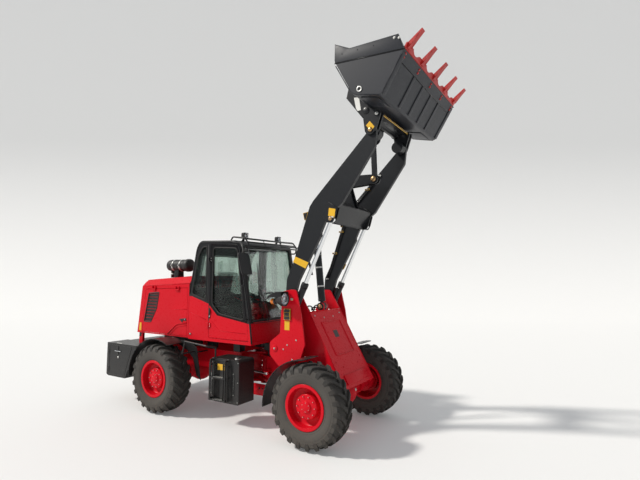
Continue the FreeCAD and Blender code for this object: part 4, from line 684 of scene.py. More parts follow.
for vert in (vert for vert in mirrors.bm.verts if vert not in arms):
    away = Matrix.Rotation(MIRROR_TURN, 3, "Z") @ (vert.co - mirror_at)
    vert.co = mirror_at + away - Vector((away.z * MIRROR_LEAN, 0, 0))
mirrors.turned([(0, 0.018), (0.01, 0.022), (0.03, 0.022), (0.04, 0.015)], (-1.096, 0.80, 2.315),
               UPRIGHT, dark_rubber, 16)
mirrors.mirrored()
mirrors.done("mirror_pair", "rear_frame", ("mirrors",))

# Roof work lamps: square black housings with cooling ribs, a rubber-set clear lens over a bright
# reflector, on folded brackets bolted to the roof. The tail lamps on the rear boxes have red
# lenses.
reflector = finish("reflector", (0.75, 0.76, 0.78), 0.14, dust=0.0, wear=0.0, metallic=1.0,
                   peel=0.0)
amber_lens = finish("amber_lens", (0.75, 0.2, 0.01), 0.12, dust=0.05, wear=0.0, coat=0.5, peel=0.0)
red_lens = finish("red_lens", (0.45, 0.008, 0.006), 0.12, dust=0.05, wear=0.0, coat=0.5, peel=0.0)
dress(black_plastic, "lamps")
work = Build()
for y in (-0.4, 0.4):
    work.block((-1.455, -1.405), (y - 0.044, y + 0.044), (2.558, 2.642), black_plastic, 0.010)
    work.block((-1.407, -1.396), (y - 0.045, y + 0.045), (2.556, 2.644), black_plastic, 0.004)
    work.turned([(0, 0.034), (0.004, 0.036), (0.004, 0.030), (-0.012, 0.012), (-0.013, 0)],
                (-1.396, y, 2.60), AHEAD, reflector, 28)
    work.turned([(0, 0), (0, 0.034), (0.002, 0.0335), (0.004, 0)], (-1.3935, y, 2.60), AHEAD,
                lens_glass, 28)
    for i in range(5):
        work.block((-1.462, -1.452), (y - 0.036 + i * 0.016, y - 0.030 + i * 0.016), (2.57, 2.63),
                   black_plastic, 0.001)
    work.prism([(-1.478, 2.519), (-1.45, 2.519), (-1.434, 2.565), (-1.446, 2.565)], "y", y - 0.02,
               y + 0.02, black_paint, 0.003)
    work.bolt((-1.43, y + 0.045, 2.57), OUT, 0.006, zinc, False)
for y in (-0.7, 0.7):
    work.block((-3.949, -3.9255), (y - 0.049, y + 0.049), (0.761, 0.859), black_plastic, 0.005)
    work.block((-3.951, -3.945), (y - 0.044, y + 0.044), (0.812, 0.854), red_lens, 0.003)
    work.block((-3.951, -3.945), (y - 0.044, y + 0.044), (0.766, 0.808), amber_lens, 0.003)
work.done("work_lamps", "rear_frame", ("lamps",))

# Operator's seat: a black slide box and pan carry two pads of dark woven cover over foam, swollen
# by a short cloth run between their stitched channels. A piped seam goes round the edge of each
# pad.
SEAT_PADS = (
    # name, middle, half sizes along x, y, z, lean in degrees
    ("seat_cushion", (-1.815, 0, 1.505), (0.205, 0.225, 0.055), 2.0),
    ("seat_back", (-2.065, 0, 1.815), (0.05, 0.215, 0.27), -11.0))
PAD_INSET, PAD_VOXEL, PAD_SWELL, PAD_PRESSURE, PAD_STEPS = 0.0154, 0.008, 0.020, 4.0, 20
STITCH_PLACES, STITCH_HALF, STITCH_REACH = (-0.42, 0.42), 0.007, 0.8
PIPING_RADIUS, PIPING_POINTS, PIPING_SQUARENESS, PIPING_SIDE = 0.0045, 48, 0.35, 0.55


def plain_mesh(name, source):
    """A mesh with the shape that an object's modifiers give it."""
    depsgraph = bpy.context.evaluated_depsgraph_get()
    mesh = bpy.data.meshes.new_from_object(source.evaluated_get(depsgraph))
    mesh.name = name
    return mesh


def swell(pad, stitched):
    """Runs the cover as cloth under pressure, then holds each point within the swell allowed."""
    start = [vert.co.copy() for vert in pad.data.vertices]
    held = pad.vertex_groups.new(name="stitch")
    held.add(stitched, 1.0, "REPLACE")
    cloth = pad.modifiers.new("cover", "CLOTH")
    cloth.settings.vertex_group_mass = "stitch"
    cloth.settings.use_pressure = True
    cloth.settings.uniform_pressure_force = PAD_PRESSURE
    cloth.settings.effector_weights.gravity = 0.0
    cloth.point_cache.frame_start, cloth.point_cache.frame_end = 1, PAD_STEPS
    for step in range(1, PAD_STEPS + 1):
        bpy.context.scene.frame_set(step)
    swollen = plain_mesh(pad.name, pad)
    pad.modifiers.remove(cloth)
    bpy.context.scene.frame_set(1)
    for vert, before in zip(swollen.vertices, start):
        move = vert.co - before
        if move.length > PAD_SWELL:
            vert.co = before + move.normalized() * PAD_SWELL
    pad.data = swollen
    pad.vertex_groups.clear()


def seat_pad(name, middle, half, lean):
    """One pad: a bevelled box swollen as a cover over foam, and the piped seam round its edge."""
    thin = min(range(3), key=lambda k: half[k])
    wide = [k for k in range(3) if k != thin]
    bm = bmesh.new()
    bmesh.ops.create_cube(bm, size=2.0)
    bmesh.ops.scale(bm, vec=[half[k] - PAD_INSET for k in range(3)], verts=bm.verts)
    bmesh.ops.bevel(bm, geom=bm.edges[:], offset=half[thin] * 0.45, segments=4, profile=0.5,
                    affect="EDGES")
    mesh = bpy.data.meshes.new(name)
    bm.to_mesh(mesh)
    bm.free()
    pad = bpy.data.objects.new(name, mesh)
    bpy.context.scene.collection.objects.link(pad)
    voxels = pad.modifiers.new("voxels", "REMESH")
    voxels.mode, voxels.voxel_size = "VOXEL", PAD_VOXEL
    pad.data = plain_mesh(name, pad)
    pad.modifiers.remove(voxels)
    swell(pad, [vert.index for vert in pad.data.vertices if
                any(abs(vert.co[wide[0]] - share * half[wide[0]]) < STITCH_HALF for share in
                    STITCH_PLACES) and abs(vert.co[wide[1]]) < half[wide[1]] * STITCH_REACH])
    pad.data.polygons.foreach_set("use_smooth", [True] * len(pad.data.polygons))
    pad.data.materials.clear()
    pad.data.materials.append(seat_fabric)
    smooth = pad.modifiers.new("smooth", "SUBSURF")
    smooth.levels = smooth.render_levels = 1
    pad.rotation_euler = (0, math.radians(lean), 0)
    pad.location = at(*middle)
    edge = []
    for i in range(PIPING_POINTS):
        turn = 2 * math.pi * i / PIPING_POINTS
        place = [0.0, 0, 0.0]
        for k, reach in zip(wide, (math.cos(turn), math.sin(turn))):
            place[k] = math.copysign(abs(reach) ** PIPING_SQUARENESS, reach) * half[k]
        place[thin] = half[thin] * PIPING_SIDE
        edge.append(pad.closest_point_on_mesh(Vector(place))[1])
    turned = pad.rotation_euler.to_matrix()
    piping = Build()
    piping.seal([turned @ point + Vector(middle) for point in edge], PIPING_RADIUS, black_plastic,
                0.01)
    piping.done(name + "_piping", "rear_frame")
    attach(pad, "rear_frame")


seat_fabric = finish("seat_fabric", (0.02, 0.02, 0.022), 0.85, dust=0.05, wear=0.0, peel=0.35)
dress(black_plastic, "seat")
for row in SEAT_PADS:
    seat_pad(*row)
seat_base = Build()
seat_base.block((-1.99, -1.69), (-0.165, 0.165), (1.112, 1.40), black_plastic, 0.02)
for i in range(5):
    seat_base.block((-1.995, -1.685), (-0.17, 0.17), (1.15 + i * 0.045, 1.172 + i * 0.045),
                    dark_rubber, 0.008)
seat_base.block((-2.03, -1.62), (-0.235, 0.235), (1.40, 1.455), black_plastic, 0.018)
seat_base.prism([(-2.072, 1.50), (-2.142, 1.98), (-2.112, 1.99), (-2.04, 1.50)], "y", -0.19, 0.19,
                black_plastic, 0.01)
for y in (-0.2, 0.2):
    seat_base.tube([(-2.0, y * 1.1, 1.62), (-1.98, y * 1.12, 1.70), (-1.75, y * 1.12, 1.71)], 0.022,
                   black_plastic, corner=0.04)
seat_base.done("seat_frame", "rear_frame", ("seat",))

# Hood: fixed shell of pressed red sheet. A rubber lip closes the gap to the cab, a crease runs
# along each shoulder, the rear opening has a black frame round its slats, and blank yellow plates
# mark the rear corners. A rain cap stands on the exhaust's stub behind the air cleaner.
cast_iron = finish("cast_iron", (0.03, 0.03, 0.03), 0.6, dust=0.4, wear=0.3, peel=0.8)
yellow_plate = finish("yellow_plate", (0.75, 0.42, 0.01), 0.35, dust=0.15, wear=0.2,
                      edge_colour=(0.5, 0.35, 0.1), rounding=0.001)
dress(red_paint, "hood")
dress(black_paint, "rear_grille")
dress(cast_iron, "engine_block")
hood_trim = Build()
hood_trim.bead(SKIN_FACE, [(-3.36, 1.842), (-2.32, 1.893)], 0.005, red_paint)
hood_trim.tube([(-3.375, 0.528, 1.928), (-2.32, 0.530, 2.003)], 0.0055, red_paint, steps=8)
hood_trim.prism([(-3.462, 1.02), (-3.405, 1.02), (-3.405, 1.10), (-3.452, 1.10)], "y", 0.6005,
                0.6015, black_paint)
hood_trim.mirrored()
for low, high in ((-0.6217, -0.6205), (0.6205, 0.6217)):
    hood_trim.prism([(-3.448, 1.12), (-3.392, 1.12), (-3.392, 1.245), (-3.434, 1.245)], "y", low,
                    high, yellow_plate)
hood_trim.tube([(-2.306, -0.612, 1.10), (-2.306, -0.612, 1.89), (-2.306, -0.522, 2.004),
                (-2.306, 0.522, 2.004), (-2.306, 0.612, 1.89), (-2.306, 0.612, 1.10)], 0.0055,
               dark_rubber, corner=0.03, steps=8)


def rear_x(z, lift=0.0):
    """x of the hood's raked rear face at a height, moved out by lift."""
    return -3.49 + (z - 1.085) * 0.105 / 0.845 - lift


hood_trim.seal(pane(rear_x, 1.185, 1.735, 0.425, 0.002), 0.010, black_paint, 0.04)
for y in (-0.52, 0.52):
    hood_trim.block((rear_x(1.30, 0.010), rear_x(1.30, -0.004)), (y - 0.035, y + 0.035),
                    (1.24, 1.36), black_plastic, 0.006)
    hood_trim.block((rear_x(1.30, 0.014), rear_x(1.30, 0.006)), (y - 0.028, y + 0.028),
                    (1.248, 1.352), red_lens, 0.004)
hood_trim.turned([(0, 0.055), (0.035, 0.055), (0.038, 0.042), (0.20, 0.042), (0.205, 0.044),
                  (0.24, 0.044), (0.24, 0.038), (0.20, 0.036)], (-2.52, 0.25, 1.985), UPRIGHT,
                 cast_iron, 28)
hood_trim.turned([(0, 0), (0, 0.047), (0.005, 0.049), (0.012, 0)], (-2.515, 0.25, 2.232),
                 (-0.35, 0, 0.94), black_paint, 24)
hood_trim.done("hood_trim", "rear_frame")

# Gull-wing side doors of the hood: a pressed scoop ridge above the wheel, two style creases, a
# black recessed latch, and the slatted black grille in its slot with a rubber frame.
SLAT_COUNT, SLAT_PITCH, SLAT_LOW = 19, 0.0235, 1.292
SLOT = [(-3.332, 1.270), (-3.231, 1.724), (-2.986, 1.744), (-3.033, 1.490), (-3.166, 1.267)]
dress(red_paint, "hood_door_left", "hood_door_right")
for hand, out in SIDES:
    gull = Build()
    gull.seal([(x, 0.6185, z) for x, z in SLOT], 0.008, black_plastic, 0.02)
    for i in range(SLAT_COUNT):
        z = SLAT_LOW + i * SLAT_PITCH
        rear = -3.325 + (z - 1.268) / (1.735 - 1.268) * 0.098
        front = -3.160 + (min(z, 1.49) - 1.268) * 0.122 / 0.222 + max(0, z - 1.49) * 0.048 / 0.254
        gull.prism([(0.611, z), (0.6175, z + 0.005), (0.6175, z + 0.013), (0.611, z + 0.0085)], "x",
                   rear + 0.012, front - 0.008, black_plastic)
    gull.prism([(x, z) for x, z in SLOT], "y", 0.6095, 0.6105, black_plastic)
    gull.bead(SKIN_FACE, [(-2.345, 1.506), (-2.632, 1.493)], 0.0045, red_paint)
    gull.bead(0.619, [(-2.765, 1.108), (-2.563, 1.274), (-2.347, 1.300)], 0.012, red_paint, 0.07,
              steps=12)
    gull.bead(SKIN_FACE, [(-2.70, 1.108), (-2.540, 1.238), (-2.347, 1.262)], 0.006, red_paint, 0.06,
              steps=12)
    gull.prism([(-2.508, 1.352), (-2.36, 1.372), (-2.352, 1.33), (-2.42, 1.335), (-2.44, 1.298),
                (-2.47, 1.325)], "y", SKIN_FACE, 0.6265, black_plastic, 0.004)
    gull.turned([(0, 0), (0, 0.009), (0.004, 0.009), (0.005, 0)], (-2.385, 0.6265, 1.352), OUT,
                chrome, 16)
    gull.done("hood_side_trim_" + hand, "hood_door_" + hand, flip=out < 0)

# Air cleaner: a black can lying on the hood's crown, with rolled ribs, two bright clamp bands
# with their bolts, a dust cup at the rear, and a rubber elbow down to the engine.
dress(black_plastic, "air_cleaner")
cleaner = Build()
ribs = [(0, 0), (0, 0.075), (0.012, 0.088), (0.035, 0.092)]
for i in range(6):
    ribs += [(0.06 + i * 0.055, 0.092), (0.068 + i * 0.055, 0.0955), (0.078 + i * 0.055, 0.0955),
             (0.086 + i * 0.055, 0.092)]
ribs += [(0.405, 0.092), (0.41, 0.102), (0.425, 0.104), (0.475, 0.102), (0.488, 0.088), (0.488, 0)]
cleaner.turned(ribs, (-3.128, -0.3, 2.175), AHEAD, black_plastic, 48)
for x in (-2.985, -2.82):
    cleaner.turned([(-0.013, 0.0925), (-0.013, 0.0965), (0.013, 0.0965), (0.013, 0.0925)],
                   (x, -0.3, 2.175), AHEAD, zinc, 48)
    cleaner.block((x - 0.012, x + 0.012), (-0.412, -0.396), (2.165, 2.19), zinc, 0.002)
    cleaner.bolt((x, -0.412, 2.178), (0, -1, 0), 0.005, zinc, False)
cleaner.prism([(-0.365, 1.967), (-0.235, 1.967), (-0.245, 2.10), (-0.355, 2.10)], "x", -2.958,
              -2.862, black_paint, 0.006)
cleaner.bead(-0.3, [(-3.05, 2.10), (-3.05, 1.975)], 0.035, dark_rubber, steps=12)
cleaner.turned([(0, 0.04), (0.012, 0.04), (0.012, 0.036)], (-3.05, -0.3, 2.03), UPRIGHT, zinc, 24)
cleaner.done("air_cleaner_can", "rear_frame", ("air_cleaner",))

# Tank and tool box under the cab, one each side: bolted door outline, filler neck and cap, sight
# gauge, blank yellow plate, strap handles, and tread ribs on the ladder's rungs.
dress(black_paint, "tanks", "handrails")
tank_trim = Build()
tank_trim.seal([(-1.615, 0.7905, 0.335), (-1.615, 0.7905, 0.865), (-1.315, 0.7905, 0.865),
                (-1.315, 0.7905, 0.335)], 0.003, black_paint, 0.03, steps=6)
tank_trim.disc((-1.26, 0.68, 0.889), UPRIGHT, 0.033, 0.026, black_plastic, rim=(0.004, 0.005))
tank_trim.turned([(0, 0.045), (0.006, 0.045), (0.006, 0.03)], (-1.26, 0.68, 0.889), UPRIGHT, zinc,
                 24)
tank_trim.block((-1.245, -1.215), (0.7895, 0.7945), (0.42, 0.72), black_plastic, 0.002)
tank_trim.block((-1.238, -1.222), (0.793, 0.797), (0.44, 0.70), lens_glass, 0.001)
for z in (0.432, 0.708):
    tank_trim.bolt((-1.23, 0.7945, z), OUT, 0.006, zinc, False)
tank_trim.prism([(-1.525, 0.735), (-1.395, 0.735), (-1.395, 0.815), (-1.525, 0.815)], "y", 0.7902,
                0.7915, yellow_plate)
for x in (-1.62, -1.16):
    for z in (0.345, 0.60, 0.855):
        tank_trim.bolt((x, 0.7895, z), OUT, 0.0055, zinc)
for z in (0.345, 0.640):
    for i in range(9):
        tank_trim.block((-1.60 + i * 0.032, -1.592 + i * 0.032), (0.795, 0.858),
                        (z + 0.0075, z + 0.0115), black_paint, 0.001)
for x in (-1.60, -1.33):
    for z in (0.36, 0.87):
        tank_trim.turned([(0, 0.024), (0.006, 0.024), (0.008, 0.013)], (x, 0.790, z), OUT,
                         black_paint, 20)
for x_low, x_high in ((-1.625, -1.545), (-1.375, -1.305)):
    tank_trim.bead(0.838, [(x_low, 0.335), (x_low, 0.845), (x_high, 0.845), (x_high, 0.335)], 0.010,
                   black_paint, 0.035, steps=10)
    for x in (x_low, x_high):
        tank_trim.tube([(x, 0.79, 0.80), (x, 0.838, 0.80)], 0.008, black_paint, steps=8)
for z in (0.352, 0.648):
    tank_trim.block((-1.55, -1.37), (0.800, 0.856), (z, z + 0.004), zinc, 0.001)
tank_trim.mirrored()
tank_trim.done("tank_trim", "rear_frame")

# Rear weight and its side boxes: each box has a lidded door outline, a bright pull handle, a
# round latch and hinge barrels. The cast weight carries two lifting eyes and plugged bolts.
dress(black_paint, "counterweight", "tow_hitch")
boxes = Build()
boxes.seal([(-3.86, 0.8505, 0.42), (-3.86, 0.8505, 0.885), (-3.30, 0.8505, 0.885),
            (-3.47, 0.8505, 0.42)], 0.0035, black_paint, 0.03, steps=6)
boxes.tube([(-3.70, 0.8495, 0.80), (-3.70, 0.872, 0.80), (-3.56, 0.872, 0.80),
            (-3.56, 0.8495, 0.80)], 0.006, chrome, corner=0.015, steps=10)
boxes.turned([(0, 0), (0, 0.016), (0.005, 0.016), (0.006, 0.010), (0.012, 0.009), (0.013, 0)],
             (-3.63, 0.8505, 0.70), OUT, zinc, 24)
for z in (0.50, 0.78):
    boxes.bead(0.853, [(-3.864, z - 0.04), (-3.864, z + 0.04)], 0.006, black_paint, steps=12)
boxes.block((-3.655, -3.625), (0.8495, 0.8565), (0.74, 0.885), black_paint, 0.002)
boxes.bead(0.835, [(-3.70, 0.898), (-3.70, 0.918), (-3.58, 0.918), (-3.58, 0.898)], 0.005, zinc,
           0.012)
boxes.bead(0.30, [(-3.75, 0.904), (-3.75, 0.96), (-3.83, 0.96), (-3.83, 0.904)], 0.012, black_paint,
           0.03, steps=12)
for z in (0.50, 0.84):
    boxes.bolt((-3.9255, 0.40, z), (-1, 0, 0), 0.018, cast_iron)
boxes.mirrored()
boxes.turned([(-0.10, 0.015), (-0.095, 0.0158), (0.09, 0.0158), (0.095, 0.026), (0.105, 0.026),
              (0.105, 0)], (-3.985, 0, 0.58), UPRIGHT, zinc, 20)
boxes.tube([(-3.985, 0, 0.683), (-3.985, 0, 0.705), (-3.985, 0.035, 0.705), (-3.985, 0.035, 0.687)],
           0.004, zinc, corner=0.01, steps=8)
boxes.done("rear_box_trim", "rear_frame")

# Fenders: each is an arc of black sheet with a rolled bead round its free edges and a row of
# bolts where its bracket holds it.
def arc(centre, radius, start, end, y, count=14):
    """Points on a wheel's arc at depth y, angles in degrees."""
    turns = [math.radians(start + (end - start) * i / count) for i in range(count + 1)]
    return [(centre[0] + radius * math.cos(t), y, centre[1] + radius * math.sin(t)) for t in turns]


dress(black_paint, "rear_fenders", "front_fenders")
FENDER_OUTER = 0.943
for name, centre, radius, start, end, inner, body in (
        ("front", (-0.02, 0.44), 0.596, 181.5, 91.5, 0.606, "front_frame"),
        ("rear", (REAR_AXLE_X, 0.49), 0.584, 181.5, 62.5, 0.636, "rear_frame")):
    bead = Build()
    outer = arc(centre, radius, start, end, FENDER_OUTER)
    bead.tube(outer, 0.0075, black_paint, corner=0.0, steps=8)
    for angle in (start, end):
        turn = math.radians(angle)
        x, z = centre[0] + radius * math.cos(turn), centre[1] + radius * math.sin(turn)
        bead.tube([(x, inner, z), (x, FENDER_OUTER, z)], 0.0065, black_paint, steps=8)
    for i in range(5):
        turn = math.radians(start + (end - start) * (0.15 + 0.17 * i))
        seat = radius + 0.004
        x, z = centre[0] + seat * math.cos(turn), centre[1] + seat * math.sin(turn)
        bead.bolt((x, inner + 0.035, z), (math.cos(turn), 0, math.sin(turn)), 0.007, zinc)
    bead.mirrored()
    bead.done("fender_bead_" + name, body)

# Front frame: a welded tower whose sloping front plate has a rectangular stiffening panel pressed
# in it, weld beads along its seams, bolts at its edges and a bare sheet plate in its middle. The
# cheek plates carry a black connector box and blank yellow plates, and hold the boom's pivot
# pins.
PLATE_TOP, PLATE_NOSE = (-0.283, 1.548), (0.250, 0.615)
slope_length = math.hypot(PLATE_NOSE[0] - PLATE_TOP[0], PLATE_NOSE[1] - PLATE_TOP[1])
slope_x = (PLATE_NOSE[0] - PLATE_TOP[0]) / slope_length
slope_z = (PLATE_NOSE[1] - PLATE_TOP[1]) / slope_length


def on_plate(down, y, lift=0.0):
    """A place on the sloping plate: distance down from its top edge, across, and out from it."""
    return (PLATE_TOP[0] + slope_x * down - slope_z * lift, y, PLATE_TOP[1] + slope_z * down +
            slope_x * lift)


def slab(build, down, across, thick, material, bevel=0.002):
    """Lays a flat plate on the sloping plate."""
    corners = [on_plate(down[0], 0, -0.0005), on_plate(down[1], 0, -0.0005), on_plate(down[1], 0,
               thick), on_plate(down[0], 0, thick)]
    build.prism([(x, z) for x, _, z in corners], "y", across[0], across[1], material, bevel)


dress(red_paint, "front_chassis")
tower = Build()
tower.seal([on_plate(0.16, -0.25), on_plate(0.16, 0.25), on_plate(0.64, 0.25),
            on_plate(0.64, -0.25)], 0.008, red_paint, 0.035)
tower.seal([on_plate(0.185, -0.225, -0.003), on_plate(0.185, 0.225, -0.003), on_plate(0.615, 0.225,
            -0.003), on_plate(0.615, -0.225, -0.003)], 0.006, red_paint, 0.03)
slab(tower, (0.30, 0.40), (-0.06, 0.05), 0.0012, black_paint, 0)
for y in (-0.414, 0.414):
    tower.tube([on_plate(0, y), on_plate(slope_length, y)], 0.007, red_paint, steps=8)
tower.tube([on_plate(0, -0.40, 0.002), on_plate(0, 0.40, 0.002)], 0.008, red_paint, steps=8)
for down, y in ((0.06, 0.33), (0.10, 0.12), (0.72, 0.33), (0.80, 0.20), (0.95, 0.34), (1.0, 0.10)):
    for side_sign in (-1, 1):
        tower.bolt(on_plate(down, side_sign * y), (-slope_z, 0, slope_x), 0.010,
                   zinc if down < 0.2 else red_paint)
slab(tower, (0.90, 1.03), (-0.30, 0.30), 0.014, red_paint, 0.004)
tower.done("tower_trim", "front_frame")

cheeks = Build()
cheeks.prism([(-0.545, 1.32), (-0.468, 1.32), (-0.468, 1.437), (-0.545, 1.437)], "y", 0.6002,
             0.6015, yellow_plate)
cheeks.turned([(-0.006, 0.072), (0.004, 0.072), (0.008, 0.066), (0.008, 0.036)],
              (-0.52, 0.600, 1.72), OUT, red_paint, 40)
cheeks.disc((-0.52, 0.606, 1.72), OUT, 0.0345, 0.0075, zinc, 28, rim=(0.001, 0.0035))
cheeks.block((-0.475, -0.415), (0.599, 0.607), (1.705, 1.735), zinc, 0.002)
cheeks.bolt((-0.430, 0.607, 1.72), OUT, 0.009, zinc)
for x, z in ((-0.56, 1.07), (-0.50, 1.13), (-0.36, 1.20), (-0.42, 0.95)):
    cheeks.bolt((x, 0.6, z), OUT, 0.010, zinc)
cheeks.bead(0.4155, [(-0.60, 0.93), (-0.33, 0.93)], 0.006, red_paint)
cheeks.bead(0.5795, [(-0.60, 0.93), (-0.33, 0.93)], 0.006, red_paint)
cheeks.bead(0.4165, [(-0.64, 1.26), (-0.612, 1.70)], 0.005, red_paint)
cheeks.disc((-0.70, 0.5995, 1.07), OUT, 0.046, 0.008, red_paint, 32, rim=(0.002, 0.003))
cheeks.bolt((-0.70, 0.6075, 1.07), OUT, 0.012, zinc)
cheeks.mirrored()
cheeks.block((-0.547, -0.446), (-0.622, -0.599), (1.45, 1.595), black_plastic, 0.005)
cheeks.block((-0.540, -0.453), (-0.626, -0.620), (1.50, 1.55), dark_rubber, 0.003)
for x in (-0.537, -0.456):
    for z in (1.46, 1.585):
        cheeks.bolt((x, -0.622, z), (0, -1, 0), 0.0045, zinc, False)
cheeks.done("cheek_trim", "front_frame")

# Valve block and pipework in the top of the tower: steel pipes with bright nuts rise from the
# block and bend over the top bar towards the cylinders. The pipes are rigid and clipped in pairs.
pipes = Build()
pipes.block((-0.60, -0.49), (-0.24, 0.24), (1.26, 1.40), cast_iron, 0.008)
for i, y in enumerate((-0.195, -0.125, -0.055, 0.055, 0.125, 0.195)):
    pipes.turned([(0, 0.016), (0.012, 0.018), (0.03, 0.018), (0.034, 0.013)], (-0.545, y, 1.398),
                 UPRIGHT, zinc, 6, False)
    rise = 1.575 if i % 2 else 1.60
    pipes.tube([(-0.545, y, 1.43), (-0.545, y, rise), (-0.47, y * 1.25, rise),
                (-0.43, y * 1.4, 1.535), (-0.39, y * 1.5, 1.53)], 0.0095, black_paint, corner=0.035)
    pipes.turned([(0, 0), (0, 0.016), (0.022, 0.016), (0.026, 0.012), (0.026, 0)],
                 (-0.405, y * 1.5, 1.53), AHEAD, zinc, 6, False)
for y in (-0.16, 0.16):
    pipes.block((-0.562, -0.528), (y - 0.06, y + 0.06), (1.48, 1.505), black_plastic, 0.004)
    pipes.bolt((-0.545, y, 1.505), UPRIGHT, 0.006, zinc)
pipes.done("tower_pipes", "front_frame")

# Junction block on the tail, over the centre joint: a black cast block with two rows of short
# steel pipes that run back from the tower's rear plate, each with a bright nut at the block.
junction = Build()
junction.block((-1.155, -0.985), (-0.165, 0.165), (0.8628, 1.012), black_plastic, 0.012)
junction.block((-1.205, -0.985), (-0.190, 0.190), (0.940, 1.054), black_plastic, 0.012)
for z in (0.905, 0.970):
    for i in range(6):
        y = -0.1375 + i * 0.055
        junction.tube([(-0.992, y, z), (-0.632, y * 1.3, z + 0.02)], 0.014, black_paint, steps=10)
        junction.turned([(0, 0.019), (0.022, 0.019), (0.026, 0.015)], (-0.985, y, z), AHEAD, zinc,
                        6, False)
junction.done("junction_block", "front_frame")

# Keel of the front frame's tail: two plates cut from thick sheet hang under the tail, welded to a
# bottom plate between them, and a pair of bolts on each side holds the lower joint's cap.
keel = Build()
keel.prism([(-1.125, 0.559), (-1.125, 0.462), (-1.37, 0.462), (-1.39, 0.442), (-1.39, 0.33),
            (-1.36, 0.30), (-0.70, 0.30), (-0.642, 0.36), (-0.642, 0.559)], "y", 0.19, 0.21,
           red_paint, 0.002)
for x in (-1.26, -1.20):
    keel.bolt((x, 0.21, 0.40), OUT, 0.012, black_paint)
keel.mirrored()
keel.block((-1.36, -0.70), (-0.191, 0.191), (0.30, 0.318), red_paint, 0.002)
keel.done("tail_keel", "front_frame")

# Head lamps: deep black bowls with a bright reflector and a domed clear lens, an amber indicator
# behind each under a folded black hood, all on a bolted bracket at the cheek.
LAMP_REAR, LAMP_Y, LAMP_Z = -0.60, 0.70, 1.72
lamp_at, indicator_at = (LAMP_REAR, LAMP_Y, LAMP_Z), (LAMP_REAR - 0.09, LAMP_Y, LAMP_Z - 0.03)
white_plate = finish("white_plate", (0.75, 0.75, 0.72), 0.35, dust=0.2, wear=0.2,
                     edge_colour=(0.5, 0.5, 0.5), rounding=0.001)
dress(black_plastic, "headlamps")
lamp_pair = Build()
lamp_pair.turned([(0, 0), (0, 0.046), (0.08, 0.0845), (0.118, 0.0845), (0.121, 0.0885),
                  (0.129, 0.0885), (0.131, 0.084), (0.129, 0.079), (0.113, 0.077)], lamp_at, AHEAD,
                 black_plastic, 48)
lamp_pair.turned([(0.120, 0.0785), (0.108, 0.072), (0.078, 0.050), (0.056, 0.026), (0.052, 0)],
                 lamp_at, AHEAD, reflector, 48)
lamp_pair.turned([(0.053, 0), (0.053, 0.012), (0.083, 0.012), (0.089, 0.008), (0.090, 0)], lamp_at,
                 AHEAD, white_plate, 20)
lamp_pair.turned([(0.120, 0.0783), (0.127, 0.066), (0.131, 0.04), (0.1325, 0)], lamp_at, AHEAD,
                 lens_glass, 48)
for ring_radius in (0.022, 0.040, 0.058):
    lamp_pair.turned([(0.131 - ring_radius * 0.09, ring_radius - 0.003),
                      (0.1335 - ring_radius * 0.09, ring_radius),
                      (0.130 - ring_radius * 0.09, ring_radius + 0.003)], lamp_at, AHEAD,
                     lens_glass, 40)
lamp_pair.turned([(0, 0), (0, 0.028), (0.006, 0.034), (0.058, 0.0375), (0.062, 0.0375)],
                 indicator_at, AHEAD, amber_lens, 32)
lamp_pair.turned([(0.054, 0.0385), (0.074, 0.0395), (0.094, 0.030), (0.095, 0)], indicator_at,
                 AHEAD, black_plastic, 32)
for i in range(4):
    lamp_pair.turned([(0.012 + i * 0.011, 0.0358), (0.0155 + i * 0.011, 0.0385),
                      (0.019 + i * 0.011, 0.0368)], indicator_at, AHEAD, amber_lens, 32)
for low, high in ((0.622, 0.628), (0.772, 0.778)):
    lamp_pair.prism([(-0.705, 1.742), (-0.690, 1.764), (-0.56, 1.816), (-0.48, 1.818),
                     (-0.48, 1.760), (-0.56, 1.745)], "y", low, high, black_paint, 0.002)
lamp_pair.prism([(-0.705, 1.742), (-0.690, 1.766), (-0.56, 1.818), (-0.480, 1.820), (-0.480, 1.814),
                 (-0.558, 1.812), (-0.684, 1.760), (-0.698, 1.738)], "y", 0.622, 0.778, black_paint,
                0.002)
lamp_pair.prism([(0.6005, 1.768), (0.6005, 1.806), (0.640, 1.806), (0.640, 1.795), (0.612, 1.795),
                 (0.612, 1.768)], "x", -0.54, -0.49, black_paint, 0.003)
for x in (-0.53, -0.50):
    lamp_pair.bolt((x, 0.612, 1.781), OUT, 0.0065, zinc)
lamp_pair.mirrored()
lamp_pair.done("head_lamp_pair", "front_frame", ("headlamps",))

# Drive axles and centre pivot: a bolted cover on each differential, a grease fitting and cap on
# each hub end, and the pivot's cover plates with their bolts. Two steering cylinders lie beside
# the pivot.
PIVOT_X, COVER_BOLTS, COVER_CIRCLE = -1.325, 10, 0.158
dress(red_paint, "front_axle", "rear_axle", "rear_chassis")
dress(black_paint, "steer_barrel_left", "steer_barrel_right")
dress(chrome, "steer_rod_left", "steer_rod_right")
for (name, axle_x), face in zip(AXLES, (1, -1)):
    drive = Build()
    drive.turned([(0.085, 0.159), (0.093, 0.166), (0.105, 0.166), (0.11, 0.158), (0.145, 0.118),
                  (0.183, 0.05), (0.188, 0)], (axle_x, 0, 0.5), (face, 0, 0), red_paint, 48)
    for i in range(COVER_BOLTS):
        turn = 2 * math.pi * i / COVER_BOLTS
        drive.bolt((axle_x + face * 0.105, COVER_CIRCLE * math.sin(turn),
                    TYRE_RADIUS + COVER_CIRCLE * math.cos(turn)), (face, 0, 0), 0.009, zinc)
    drive.turned([(0, 0), (0, 0.02), (0.012, 0.02), (0.014, 0.012), (0.014, 0)],
                 (axle_x + face * 0.178, 0, 0.535), (face, 0, 0.25), zinc, 6, False)
    drive.done("axle_cover_" + name, name + "_frame")
pivot = Build()
